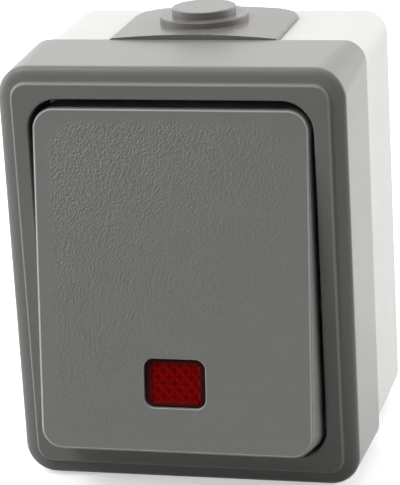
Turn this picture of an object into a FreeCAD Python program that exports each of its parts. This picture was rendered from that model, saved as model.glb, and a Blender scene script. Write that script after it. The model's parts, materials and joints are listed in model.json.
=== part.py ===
# Surface-mounted weatherproof light switch with a large rocker and a red pilot window.
# Frame: +X right, +Y into the wall, +Z up. The origin is the middle of the wall face,
# so a depth d in front of the wall lies at y = -d.
import FreeCAD, Part
import math
import os
import re

import Sketcher

Vector = FreeCAD.Vector
Constraint = Sketcher.Constraint

# Driving dimensions in millimetres and degrees: alias, value, meaning
SIZES = (
    ("cover_width", 66.0, "cover, outside width"),
    ("cover_height", 81.4, "cover, outside height"),
    ("cover_corner", 5.8, "cover, outside corner radius"),
    ("cover_wall", 1.6, "cover, side wall"),
    ("cover_front", 1.8, "cover, thickness of the front border"),
    ("cover_edge_round", 1.7, "cover, rounding of the outer front edge"),
    ("rim_depth", 28.4, "wall to the rear rim of the cover"),
    ("panel_depth", 51.1, "wall to the raised front panel"),
    ("shoulder_side", 2.75, "shoulder round the raised panel, width at the sides"),
    ("shoulder_end", 2.85, "shoulder round the raised panel, width at top and bottom"),
    ("panel_corner", 3.0, "raised panel, corner radius"),
    ("step_height", 0.8, "raised panel, height above the shoulder"),
    ("lip_round", 0.55, "raised panel, rounding of its edge"),
    ("foot_round", 0.2, "raised panel, fillet at its foot"),
    ("border_side", 3.1, "panel border round the opening, width at the sides"),
    ("border_end", 3.05, "panel border round the opening, width at top and bottom"),
    ("opening_corner", 5.0, "rocker opening, corner radius"),
    ("opening_round", 0.3, "rocker opening, rounding of its edge"),
    ("well_wall", 1.5, "wall of the well behind the opening"),
    ("well_drop", 13.3, "panel to the floor of the well"),
    ("floor_thickness", 1.8, "floor of the well, thickness"),
    ("flange_lap", 2.0, "floor of the well, lap over the insert's flange"),
    ("base_inset_side", 0.8, "base, set-back from the cover's sides"),
    ("base_inset_end", 0.6, "base, set-back from the cover's top and bottom"),
    ("base_corner", 4.5, "base, outside corner radius"),
    ("base_back", 2.4, "base, back wall"),
    ("base_edge_round", 0.8, "base, rounding at the wall"),
    ("collar_wall", 1.5, "base, wall of the collar inside the cover"),
    ("collar_length", 5.0, "base, collar beyond the cover's rim"),
    ("collar_gap", 0.2, "clearance between collar and cover"),
    ("seal_thickness", 1.0, "cover seal, thickness"),
    ("fixing_spacing", 60.0, "wall screws, spacing"),
    ("fixing_hole", 4.5, "wall screws, hole diameter"),
    ("fixing_boss", 9.0, "wall screws, boss diameter"),
    ("fixing_boss_height", 3.0, "wall screws, boss height"),
    ("knockout", 20.0, "knock-out, diameter"),
    ("knockout_groove", 1.2, "knock-out, width of its groove"),
    ("knockout_cut", 1.2, "knock-out, depth of its groove"),
    ("rear_knockout_rise", 14.0, "rear knock-out, height above the middle"),
    ("post_inset_side", 3.65, "cover screws, distance from the opening's sides"),
    ("post_inset_end", 3.8, "cover screws, distance from the opening's ends"),
    ("post_diameter", 6.4, "screw posts, diameter"),
    ("rib_thickness", 1.4, "ribs between posts and walls"),
    ("rib_drop", 2.4, "ribs, distance below the carrier plate"),
    ("screw_diameter", 2.9, "cover and carrier screws, shank diameter"),
    ("screw_grip", 12.0, "cover and carrier screws, length in the post"),
    ("pilot_spare", 2.4, "screw posts, bore beyond the screw"),
    ("screw_head", 5.6, "cover and carrier screws, head diameter"),
    ("head_height", 1.9, "cover and carrier screws, head height"),
    ("head_recess", 1.0, "cover screws, head recess in the floor"),
    ("screw_gap", 0.05, "clearance round screw shanks"),
    ("hole_gap", 0.3, "clearance round screws in through holes"),
    ("entry_width", 33.0, "cable entry plate, width"),
    ("entry_shift", 0.5, "cable entry plate, distance left of the middle"),
    ("entry_back", 3.4, "wall to the cable entry plate"),
    ("entry_front_gap", 0.2, "gap between entry plate and cover rim"),
    ("entry_corner", 5.5, "cable entry plate, rear corner radius"),
    ("entry_side", 0.75, "cable entry plate, height at its sides"),
    ("entry_crown", 0.8, "cable entry plate, rise of its arch"),
    ("entry_edge_round", 0.4, "cable entry plate, rounding of its edges"),
    ("entry_axis", 15.0, "wall to the middle of the entry"),
    ("disc_shift", 1.3, "entry steps, distance left of the middle"),
    ("disc_diameter", 17.4, "entry step, diameter"),
    ("disc_height", 1.15, "entry step, height above the plate"),
    ("cap_diameter", 12.5, "entry cap, diameter"),
    ("cap_height", 1.45, "entry cap, height above the step"),
    ("disc_round", 0.2, "entry steps, rounding"),
    ("membrane", 1.1, "entry, wall of the soft steps"),
    ("neck_width", 26.0, "entry neck, width"),
    ("neck_length", 19.0, "entry neck, length"),
    ("neck_corner", 3.0, "entry neck, corner radius"),
    ("neck_wall", 2.0, "entry neck, wall"),
    ("neck_gap", 0.05, "clearance of the neck in its window"),
    ("inner_lip", 1.2, "entry inner lip, overhang and thickness"),
    ("pivot_set", 1.9, "panel to the rocker axis"),
    ("rocker_tilt", 8.0, "rocker, rest angle"),
    ("rocker_gap_side", 1.05, "gap between rocker and opening at the sides"),
    ("rocker_gap_end", 2.6, "gap between rocker and opening at the ends"),
    ("rocker_corner", 4.1, "rocker, corner radius"),
    ("flare_side", 0.25, "rocker, flare of the side walls towards the rear"),
    ("flare_end", 1.4, "rocker, flare of the end walls towards the rear"),
    ("rocker_face", 6.0, "rocker axis to its face"),
    ("rocker_skirt", 11.0, "rocker, depth of its walls"),
    ("rocker_plate", 2.2, "rocker, thickness of the face"),
    ("rocker_wall", 1.6, "rocker, thickness of the walls"),
    ("rocker_round", 0.35, "rocker, rounding of the face edge"),
    ("rocker_rib_x", 18.0, "rocker ribs, distance from the middle"),
    ("rocker_rib", 4.0, "rocker ribs, height"),
    ("window_width", 11.8, "pilot window, width"),
    ("window_height", 9.35, "pilot window, height"),
    ("window_corner", 1.9, "pilot window, corner radius"),
    ("window_set", 1.2, "pilot window, distance below the lamp"),
    ("window_round", 0.25, "pilot window, rounding of its edge"),
    ("lens_gap", 0.08, "clearance round the lens"),
    ("lens_recess", 0.7, "lens, depth below the rocker's face"),
    ("lens_flange", 1.1, "lens, flange width and thickness"),
    ("cradle_gap", 0.1, "clearance between rocker and cradle"),
    ("cradle_width", 23.2, "cradle, width"),
    ("cradle_edge_gap", 1.35, "gap between cradle and lens flange"),
    ("cradle_plate", 2.5, "cradle, plate thickness"),
    ("barrel_diameter", 5.4, "cradle, barrel on the axis"),
    ("pin_diameter", 3.0, "cradle pins, diameter"),
    ("pin_gap", 0.05, "radial clearance of the cradle pins"),
    ("ear_gap", 0.4, "gap between cradle and ears"),
    ("ear_thickness", 3.0, "bearing ears, thickness"),
    ("ear_radius", 3.0, "bearing ears, radius round the pin"),
    ("leg_x", 7.5, "rocker legs, half spacing across"),
    ("leg_inset", 3.5, "rocker legs, distance from the cradle's ends"),
    ("leg_width", 3.0, "rocker legs, width"),
    ("leg_thickness", 1.6, "rocker legs, thickness"),
    ("leg_length", 3.6, "rocker legs, length"),
    ("tower_diameter", 6.4, "cradle tower, diameter"),
    ("tower_gap", 8.2, "cradle tower's end to the axis of the contact bridge"),
    ("bore_diameter", 4.2, "cradle tower, bore"),
    ("bore_seat", 0.6, "cradle axis to the spring seat"),
    ("plunger_gap", 0.1, "clearance of the plunger in the bore"),
    ("plunger_grip", 5.4, "plunger, length inside the tower"),
    ("plunger_proud", 1.0, "plunger, tower's end to its taper"),
    ("ball_radius", 1.2, "plunger tip, radius"),
    ("ball_gap", 0.18, "plunger tip to the contact bridge at mid travel"),
    ("wire_diameter", 0.5, "spring wire"),
    ("spring_turns", 5, "spring, number of turns"),
    ("bridge_room", 0.135, "room between the contact bridge and the bearing frame"),
    ("contact_tilt", 7.0, "contact bridge, rest angle"),
    ("bridge_vertex", 1.4, "contact bridge, axis to its front"),
    ("bridge_slope", 8.0, "contact bridge, slope of its arms"),
    ("bridge_beyond", 1.6, "contact bridge, reach of an arm beyond its tip"),
    ("bridge_width", 6.6, "contact bridge, width"),
    ("bridge_thickness", 0.8, "contact bridge, sheet"),
    ("bridge_ear", 1.5, "contact bridge ears, half height"),
    ("bar_diameter", 1.6, "common contact bar, diameter"),
    ("bar_gap", 0.05, "radial clearance of the bar"),
    ("tip_inset", 4.9, "contact tips, distance from the terminals"),
    ("tip_diameter", 2.6, "contact tips, diameter"),
    ("tip_height", 0.7, "contact tips, height"),
    ("contact_gap", 0.08, "gap left at the closed contact"),
    ("block_gap", 2.2, "gap between contact block and carrier posts"),
    ("block_length", 19.0, "contact block, depth"),
    ("block_corner", 2.0, "contact block, corner radius"),
    ("insert_seal_height", 1.4, "insert seal, thickness"),
    ("carrier_thickness", 1.0, "carrier plate, sheet"),
    ("carrier_gap", 0.9, "gap between carrier plate and box wall"),
    ("carrier_tab", 12.0, "carrier plate, height of its tabs"),
    ("carrier_hole_edge", 3.4, "carrier screws, distance from the plate's ends"),
    ("rivet_web", 2.5, "carrier plate, rivets to the window's edge"),
    ("lamp_way", 1.5, "carrier plate, lamp leads to the window's edge"),
    ("flange_gap", 0.6, "gap between flange and carrier screw heads"),
    ("flange_post_gap", 2.8, "gap between flange and cover posts, upright"),
    ("flange_thickness", 3.6, "bearing frame, flange thickness"),
    ("deck_gap", 1.0, "gap between deck and floor aperture"),
    ("deck_rise", 0.6, "deck, rise above the floor of the well"),
    ("slot_width", 7.6, "deck slot, width"),
    ("slot_height", 12.4, "deck slot, height"),
    ("rivet_edge", 3.5, "frame rivets, distance from the block's edges"),
    ("rivet_diameter", 2.6, "frame rivets, diameter"),
    ("rivet_head", 4.4, "frame rivets, head diameter"),
    ("rivet_head_height", 0.7, "frame rivets, head height"),
    ("chamber_width", 9.2, "contact chamber, width"),
    ("chamber_room", 3.4, "bridge axis to the floor of the contact chamber"),
    ("channel_width", 4.8, "strip channel, width"),
    ("pillar_width", 6.8, "terminals, width"),
    ("pillar_cover", 0.5, "block wall outside the terminals"),
    ("pillar_height", 7.0, "terminals, height"),
    ("block_wall", 4.6, "block wall behind the terminals"),
    ("pillar_gap", 0.2, "clearance round the terminals"),
    ("strip_width", 4.0, "contact strips, width"),
    ("strip_thickness", 1.0, "contact strips, sheet"),
    ("wire_hole", 3.0, "terminals, wire hole diameter"),
    ("wire_hole_depth", 7.0, "terminals, wire hole depth"),
    ("clamp_screw", 2.6, "terminal screws, shank diameter"),
    ("clamp_head", 4.4, "terminal screws, head diameter"),
    ("clamp_head_height", 1.6, "terminal screws, head height"),
    ("clamp_access", 5.0, "screw access in the block, diameter"),
    ("lamp_edge", 4.0, "pilot lamp, distance from the deck's lower edge"),
    ("lamp_diameter", 4.4, "pilot lamp, diameter"),
    ("lamp_length", 9.0, "pilot lamp, length"),
    ("lamp_seat", 3.4, "pilot lamp, foot above the flange"),
    ("holder_wall", 1.2, "lamp holder, wall"),
    ("holder_gap", 0.1, "clearance of lamp and holder"),
    ("holder_grip", 4.0, "lamp holder, grip on the lamp"),
    ("lead_diameter", 0.7, "lamp leads, diameter"),
    ("lead_half", 1.1, "lamp leads, half spacing"),
)


# Sizes and places that follow from the driving dimensions
FOLLOWS = {
    # cover, base and rocker, across and upright
    "panel_width": "cover_width - 2 * shoulder_side",
    "panel_height": "cover_height - 2 * shoulder_end",
    "opening_width": "panel_width - 2 * border_side",
    "opening_height": "panel_height - 2 * border_end",
    "rocker_width": "opening_width - 2 * rocker_gap_side",
    "rocker_length": "opening_height - 2 * rocker_gap_end",
    "base_width": "cover_width - 2 * base_inset_side",
    "base_height": "cover_height - 2 * base_inset_end",
    "base_top": "base_height / 2",
    "collar_inset": "2 * (cover_wall + collar_gap)",
    "cavity_inset": "collar_inset + 2 * collar_wall",
    "cavity_width": "cover_width - cavity_inset",
    "cavity_top": "(cover_height - cavity_inset) / 2",
    "cover_post_x": "opening_width / 2 - post_inset_side",
    "cover_post_z": "opening_height / 2 - post_inset_end",
    "pilot_diameter": "screw_diameter + 2 * screw_gap",
    # cover, base and cable entry, in depth and upright
    "shoulder": "panel_depth - step_height",
    "well_depth": "panel_depth - well_drop",
    "floor_rear": "well_depth - floor_thickness",
    "head_seat": "well_depth - head_recess",
    "boss_top": "base_back + fixing_boss_height",
    "ledge": "rim_depth - seal_thickness",
    "collar_front": "rim_depth + collar_length",
    "entry_front": "rim_depth - entry_front_gap",
    "plate_top": "base_top + entry_side + entry_crown",
    "disc_top": "plate_top + disc_height",
    "cap_top": "disc_top + cap_height",
    "lip_bottom": "cavity_top - inner_lip",
    # insert, across and upright
    "carrier_width": "cavity_width - 2 * carrier_gap",
    "carrier_post_x": "carrier_width / 2 - carrier_hole_edge",
    "flange_width": "2 * (carrier_post_x - screw_head / 2 - flange_gap)",
    "flange_height": "2 * (cover_post_z - post_diameter / 2 - flange_post_gap)",
    "aperture_width": "flange_width - 2 * flange_lap",
    "aperture_height": "flange_height - 2 * flange_lap",
    "deck_width": "aperture_width - 2 * deck_gap",
    "deck_height": "aperture_height - 2 * deck_gap",
    "block_size": "2 * (carrier_post_x - post_diameter / 2 - block_gap)",
    "rivet_half": "block_size / 2 - rivet_edge",
    "pillar_outer": "block_size / 2 - pillar_cover",
    "pillar_inner": "pillar_outer - pillar_height",
    "pillar_middle": "pillar_outer - pillar_height / 2",
    "lamp_drop": "deck_height / 2 - lamp_edge",
    "holder_diameter": "lamp_diameter + 2 * (holder_gap + holder_wall)",
    "carrier_window_width": "2 * (rivet_half - rivet_web)",
    "carrier_window_height": "2 * (max(lamp_drop; pillar_middle) + lamp_way)",
    # insert, in depth
    "flange_front": "floor_rear - insert_seal_height",
    "frame_back": "flange_front - flange_thickness",
    "carrier_depth": "frame_back - carrier_thickness",
    "deck_depth": "well_depth + deck_rise",
    "block_back": "carrier_depth - block_length",
    "pillar_back": "block_back + block_wall",
    "wire_middle": "pillar_back + wire_hole_depth / 2",
    "lamp_foot": "flange_front + lamp_seat",
    "holder_front": "lamp_foot + holder_grip",
    "lamp_tip": "lamp_foot + lamp_length",
    # contact bridge on its axis, and the fixed contacts that it meets at rest
    "tip_arm": "pillar_inner - tip_inset",
    "bridge_arm": "tip_arm + bridge_beyond",
    "bridge_front": "bridge_vertex + bridge_arm * tan(bridge_slope + contact_tilt)",
    "contact_pivot": "frame_back - bridge_room - bridge_front",
    "chamber_floor": "contact_pivot - chamber_room",
    "strip_front": "chamber_floor + strip_thickness",
    "sheet_reach": "bridge_thickness + tip_height",
    "tip_back": "sheet_reach * cos(bridge_slope) - bridge_vertex - tip_arm * sin(bridge_slope)",
    "tip_out": "tip_arm * cos(bridge_slope) + sheet_reach * sin(bridge_slope)",
    "rest_back": "tip_back * cos(contact_tilt) + tip_out * sin(contact_tilt)",
    "rest_out": "tip_out * cos(contact_tilt) - tip_back * sin(contact_tilt)",
    "fixed_strip": "contact_pivot - rest_back - contact_gap - tip_height",
    # rocker, cradle and plunger, measured from the rocker axis
    "pivot_depth": "panel_depth - pivot_set",
    "window_drop": "lamp_drop + window_set",
    "plate_rear": "rocker_face - rocker_plate",
    "skirt_rear": "rocker_face - rocker_skirt",
    "plate_flare": "rocker_plate / rocker_skirt",
    "cradle_front": "plate_rear - cradle_gap",
    "cradle_height": "2 * (window_drop - window_height / 2 - lens_flange - cradle_edge_gap)",
    "leg_z": "cradle_height / 2 - leg_inset",
    "ear_inner": "cradle_width / 2 + ear_gap",
    "pin_span": "2 * (ear_inner + ear_thickness)",
    "contact_reach": "pivot_depth - contact_pivot",
    "tower_length": "contact_reach - tower_gap",
    "plunger_start": "tower_length - plunger_grip",
    "plunger_shoulder": "tower_length + plunger_proud",
    "ball_centre": "contact_reach - bridge_vertex - ball_radius - ball_gap",
}

doc = FreeCAD.newDocument("weatherproof_switch")
sheet = doc.addObject("Spreadsheet::Sheet", "Sizes")
for row, (alias, number, meaning) in enumerate(SIZES, 1):
    sheet.set("A%d" % row, meaning)
    sheet.set("B%d" % row, str(number))
    sheet.setAlias("B%d" % row, alias)
doc.recompute()

ALIASES = {alias for alias, number, meaning in SIZES}
nodes = []


def bind(text):
    """Write an expression out in cells, following the derived names down to the driving sizes."""

    def in_cells(match):
        word = match[0]
        if word in FOLLOWS:
            return "(%s)" % bind(FOLLOWS[word])
        return "Sizes." + word if word in ALIASES else word

    return re.sub(r"[a-z_]+", in_cells, text)


def value(text):
    """The number that an expression gives now."""
    return float(sheet.evalExpression(bind(text)))


def drive(item, prop, text):
    """Tie a property of an object to the sheet."""
    item.setExpression(prop, bind(text))


def node(item, label):
    """Name an object as one of the pieces that are written out."""
    item.Label = label
    nodes.append(item)
    return item


def new_body(label):
    return node(doc.addObject("PartDesign::Body", label), label)


def tilt_about_x(item, depth, angle):
    """Put an object built about a cross axis at that axis, turned to its rest angle."""
    turn = FreeCAD.Rotation(Vector(1, 0, 0), value(angle))
    item.Placement = FreeCAD.Placement(Vector(0, -value(depth), 0), turn)
    drive(item, "Placement.Base.y", "-" + depth)
    drive(item, "Placement.Rotation.Angle", angle)


def with_rocker(item):
    tilt_about_x(item, "pivot_depth", "-rocker_tilt")


def with_contact(item):
    tilt_about_x(item, "contact_pivot", "contact_tilt")


def sketch_on(body, name, role, offset="0", right="0", up="0"):
    """A sketch on one of the body's own planes. On XZ_Plane the offset is the depth before the wall."""
    plane = [item for item in body.Origin.OriginFeatures if item.Role == role][0]
    sketch = body.newObject("Sketcher::SketchObject", name)
    sketch.AttachmentSupport = (plane, [""])
    sketch.MapMode = "FlatFace"
    for axis, text in (("x", right), ("y", up), ("z", offset)):
        drive(sketch, "AttachmentOffset.Base." + axis, text)
    return sketch


def dimension(sketch, constraint, text):
    index = sketch.addConstraint(constraint)
    drive(sketch, "Constraints[%d]" % index, text)


def polygon(sketch, points):
    """A closed outline of straight lines, each corner tied to the sheet."""
    spots = [Vector(value(x), value(y), 0) for x, y in points]
    count = len(spots)
    sides = [Part.LineSegment(spots[k], spots[(k + 1) % count]) for k in range(count)]
    lines = [sketch.addGeometry(side, False) for side in sides]
    for k in range(count):
        sketch.addConstraint(Constraint("Coincident", lines[k], 2, lines[(k + 1) % count], 1))
    for line, spot, (x, y) in zip(lines, spots, points):
        dimension(sketch, Constraint("DistanceX", -1, 1, line, 1, spot.x), x)
        dimension(sketch, Constraint("DistanceY", -1, 1, line, 1, spot.y), y)


def rectangle(sketch, left, right, bottom, top):
    polygon(sketch, ((left, bottom), (right, bottom), (right, top), (left, top)))


def rounded_rectangle(sketch, width, height, radius):
    """A rectangle with round corners about the sketch's origin."""
    half_w, half_h, corner = value(width) / 2, value(height) / 2, value(radius)
    in_w, in_h = half_w - corner, half_h - corner
    ends = (
        ((-in_w, -half_h), (in_w, -half_h)),
        ((half_w, -in_h), (half_w, in_h)),
        ((in_w, half_h), (-in_w, half_h)),
        ((-half_w, in_h), (-half_w, -in_h)),
    )
    lines = [sketch.addGeometry(Part.LineSegment(Vector(*p), Vector(*q)), False) for p, q in ends]
    arcs = []
    for turn, (x, y) in enumerate(((in_w, -in_h), (in_w, in_h), (-in_w, in_h), (-in_w, -in_h))):
        circle = Part.Circle(Vector(x, y), Vector(0, 0, 1), corner)
        start = (turn - 1) * math.pi / 2
        arcs.append(sketch.addGeometry(Part.ArcOfCircle(circle, start, start + math.pi / 2), False))
    for k in range(4):
        sketch.addConstraint(Constraint("Tangent", lines[k], 2, arcs[k], 1))
        sketch.addConstraint(Constraint("Tangent", arcs[k], 2, lines[(k + 1) % 4], 1))
    sketch.addConstraint(Constraint("Symmetric", lines[0], 1, lines[0], 2, -2))
    sketch.addConstraint(Constraint("Symmetric", lines[1], 1, lines[1], 2, -1))
    sketch.addConstraint(Constraint("Horizontal", lines[2]))
    sketch.addConstraint(Constraint("Vertical", lines[3]))
    for k in (1, 2, 3):
        sketch.addConstraint(Constraint("Equal", arcs[0], arcs[k]))
    dimension(sketch, Constraint("DistanceX", lines[3], 1, lines[1], 1, 2 * half_w), width)
    dimension(sketch, Constraint("DistanceY", lines[0], 1, lines[2], 1, 2 * half_h), height)
    dimension(sketch, Constraint("Radius", arcs[0], corner), radius)


def offset_rectangle(sketch, width, height, radius, offset):
    """The same, moved outwards all round by an offset."""
    rounded_rectangle(
        sketch,
        "%s + 2 * (%s)" % (width, offset),
        "%s + 2 * (%s)" % (height, offset),
        "%s + %s" % (radius, offset),
    )


def circles(sketch, diameter, places=(("0", "0"),)):
    """Equal circles at the given places."""
    for x, y in places:
        centre = Vector(value(x), value(y), 0)
        circle = sketch.addGeometry(Part.Circle(centre, Vector(0, 0, 1), value(diameter) / 2), False)
        dimension(sketch, Constraint("DistanceX", -1, 1, circle, 3, centre.x), x)
        dimension(sketch, Constraint("DistanceY", -1, 1, circle, 3, centre.y), y)
        dimension(sketch, Constraint("Diameter", circle, value(diameter)), diameter)


def pad(body, name, sketch, length, reverse=False):
    """Raise a sketch along its normal, or the other way."""
    feature = body.newObject("PartDesign::Pad", name)
    feature.Profile = sketch
    feature.Reversed = reverse
    drive(feature, "Length", length)
    return feature


def pocket(body, name, sketch, length, forward=False):
    """Cut a sketch against its normal, or along it, and make sure that it removes something."""
    doc.recompute()
    before = body.Shape.Volume
    feature = body.newObject("PartDesign::Pocket", name)
    feature.Profile = sketch
    feature.Reversed = forward
    drive(feature, "Length", length)
    doc.recompute()
    if not body.Shape.Volume < before - 1e-6:
        raise ValueError("%s cuts nothing" % name)
    return feature


def loft(body, kind, name, sketches):
    """Join two outlines by straight walls, as a solid or as a hollow."""
    feature = body.newObject("PartDesign::" + kind, name)
    feature.Profile = sketches[0]
    feature.Sections = [sketches[1]]
    feature.Ruled = True
    return feature


def fillet(body, name, radius, wanted):
    """Round the edges of the body for which wanted(edge) holds."""
    doc.recompute()
    base = body.Tip
    names = ["Edge%d" % k for k, edge in enumerate(base.Shape.Edges, 1) if wanted(edge)]
    if not names:
        raise ValueError("%s finds no edge" % name)
    feature = body.newObject("PartDesign::Fillet", name)
    feature.Base = (base, names)
    drive(feature, "Radius", radius)
    return feature


def lies_at(edge, axis, place):
    """Whether an edge lies in the plane where that axis has that value."""
    box = edge.BoundBox
    low, high = {"x": (box.XMin, box.XMax), "y": (box.YMin, box.YMax), "z": (box.ZMin, box.ZMax)}[axis]
    return abs(low - place) < 1e-4 and abs(high - place) < 1e-4


def within(edge, half_x, half_z):
    """Whether an edge stays inside a rectangle about the middle."""
    box = edge.BoundBox
    margin = 1e-4
    return max(-box.XMin, box.XMax) < half_x + margin and max(-box.ZMin, box.ZMax) < half_z + margin


def spans(edge, size):
    """Whether an edge is that long from left to right."""
    return abs(edge.BoundBox.XLength - size) < 1e-3


def mirrored(x, z):
    """Four places, mirrored across both middles."""
    return ((x, z), ("-" + x, z), ("-" + x, "-" + z), (x, "-" + z))


COVER_POSTS = mirrored("cover_post_x", "cover_post_z")
CARRIER_POSTS = (("carrier_post_x", "0"), ("-carrier_post_x", "0"))
RIVET_PLACES = (("rivet_half", "rivet_half"), ("-rivet_half", "-rivet_half"))


def primitive(kind, name, sizes, place=("0", "0", "0"), axis="z", turn="0"):
    """A Part solid with its sizes and its place tied to the sheet; turn tips it about X."""
    item = doc.addObject("Part::" + kind, name)
    for prop, text in sizes.items():
        drive(item, prop, text)
    turns = {
        "z": FreeCAD.Rotation(Vector(1, 0, 0), value(turn)),
        "-z": FreeCAD.Rotation(Vector(1, 0, 0), 180),
        "x": FreeCAD.Rotation(Vector(0, 1, 0), 90),
        "-x": FreeCAD.Rotation(Vector(0, 1, 0), -90),
        "y": FreeCAD.Rotation(Vector(1, 0, 0), -90),
        "-y": FreeCAD.Rotation(Vector(1, 0, 0), 90),
    }
    item.Placement.Rotation = turns[axis]
    if turn != "0":
        drive(item, "Placement.Rotation.Angle", turn)
    for name, text in zip("xyz", place):
        drive(item, "Placement.Base." + name, text)
    return item


def fuse(name, shapes):
    item = doc.addObject("Part::MultiFuse", name)
    item.Shapes = shapes
    return item


def compound(label, shapes):
    item = doc.addObject("Part::Compound", label)
    item.Links = shapes
    return node(item, label)


def build_base_housing():
    """Open box with a collar for the cover, screw posts, an entry window and knock-outs."""
    body = new_body("base_housing")
    outline = sketch_on(body, "base_outline", "XZ_Plane")
    rounded_rectangle(outline, "base_width", "base_height", "base_corner")
    pad(body, "base_shell", outline, "ledge")
    fillet(body, "base_wall_edge", "base_edge_round", lambda edge: lies_at(edge, "y", 0))
    collar = sketch_on(body, "collar_outline", "XZ_Plane", "ledge")
    rounded_rectangle(
        collar,
        "cover_width - collar_inset",
        "cover_height - collar_inset",
        "cover_corner - cover_wall - collar_gap",
    )
    pad(body, "collar", collar, "collar_front - ledge")
    cavity = sketch_on(body, "cavity_outline", "XZ_Plane", "collar_front")
    rounded_rectangle(
        cavity,
        "cavity_width",
        "2 * cavity_top",
        "cover_corner - cover_wall - collar_gap - collar_wall",
    )
    pocket(body, "cavity", cavity, "collar_front - base_back")

    fixings = (("0", "fixing_spacing / 2"), ("0", "-fixing_spacing / 2"))
    # ribs run from the posts to the side walls
    for side, sign in (("right", ""), ("left", "-")):
        for level, middle in (("upper", "cover_post_z"), ("middle", "0"), ("lower", "-cover_post_z")):
            start = "carrier_post_x" if level == "middle" else "cover_post_x"
            rib = sketch_on(body, "rib_%s_%s" % (side, level), "XZ_Plane", "base_back", "0", middle)
            edge = (sign + start, sign + "cavity_width / 2")
            left, right = edge if sign == "" else edge[::-1]
            rectangle(rib, left, right, "-rib_thickness / 2", "rib_thickness / 2")
            pad(body, "rib_%s_%s_pad" % (side, level), rib, "carrier_depth - rib_drop - base_back")
    for name, places, size, top in (
        ("cover_posts", COVER_POSTS, "post_diameter", "floor_rear"),
        ("carrier_posts", CARRIER_POSTS, "post_diameter", "carrier_depth"),
        ("fixing_bosses", fixings, "fixing_boss", "boss_top"),
    ):
        sketch = sketch_on(body, name + "_outline", "XZ_Plane", "base_back")
        circles(sketch, size, places)
        pad(body, name, sketch, top + " - base_back")
    for name, places, size, top, length in (
        ("cover_pilots", COVER_POSTS, "pilot_diameter", "floor_rear", "screw_grip + pilot_spare"),
        ("carrier_pilots", CARRIER_POSTS, "pilot_diameter", "carrier_depth", "screw_grip + pilot_spare"),
        ("fixing_holes", fixings, "fixing_hole", "boss_top", "boss_top"),
    ):
        sketch = sketch_on(body, name + "_outline", "XZ_Plane", top)
        circles(sketch, size, places)
        pocket(body, name, sketch, length)

    window = sketch_on(body, "entry_window_outline", "XY_Plane", "base_top", "-entry_shift", "-entry_axis")
    rounded_rectangle(window, "neck_width", "neck_length", "neck_corner")
    pocket(body, "entry_window", window, "base_top - cavity_top")
    rear = sketch_on(body, "rear_knockout_outline", "XZ_Plane", "0", "0", "rear_knockout_rise")
    circles(rear, "knockout")
    circles(rear, "knockout - 2 * knockout_groove")
    pocket(body, "rear_knockout", rear, "knockout_cut", forward=True)
    under = sketch_on(body, "lower_knockout_outline", "XY_Plane", "-base_top", "0", "-entry_axis")
    circles(under, "knockout")
    circles(under, "knockout - 2 * knockout_groove")
    pocket(body, "lower_knockout", under, "knockout_cut", forward=True)


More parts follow.
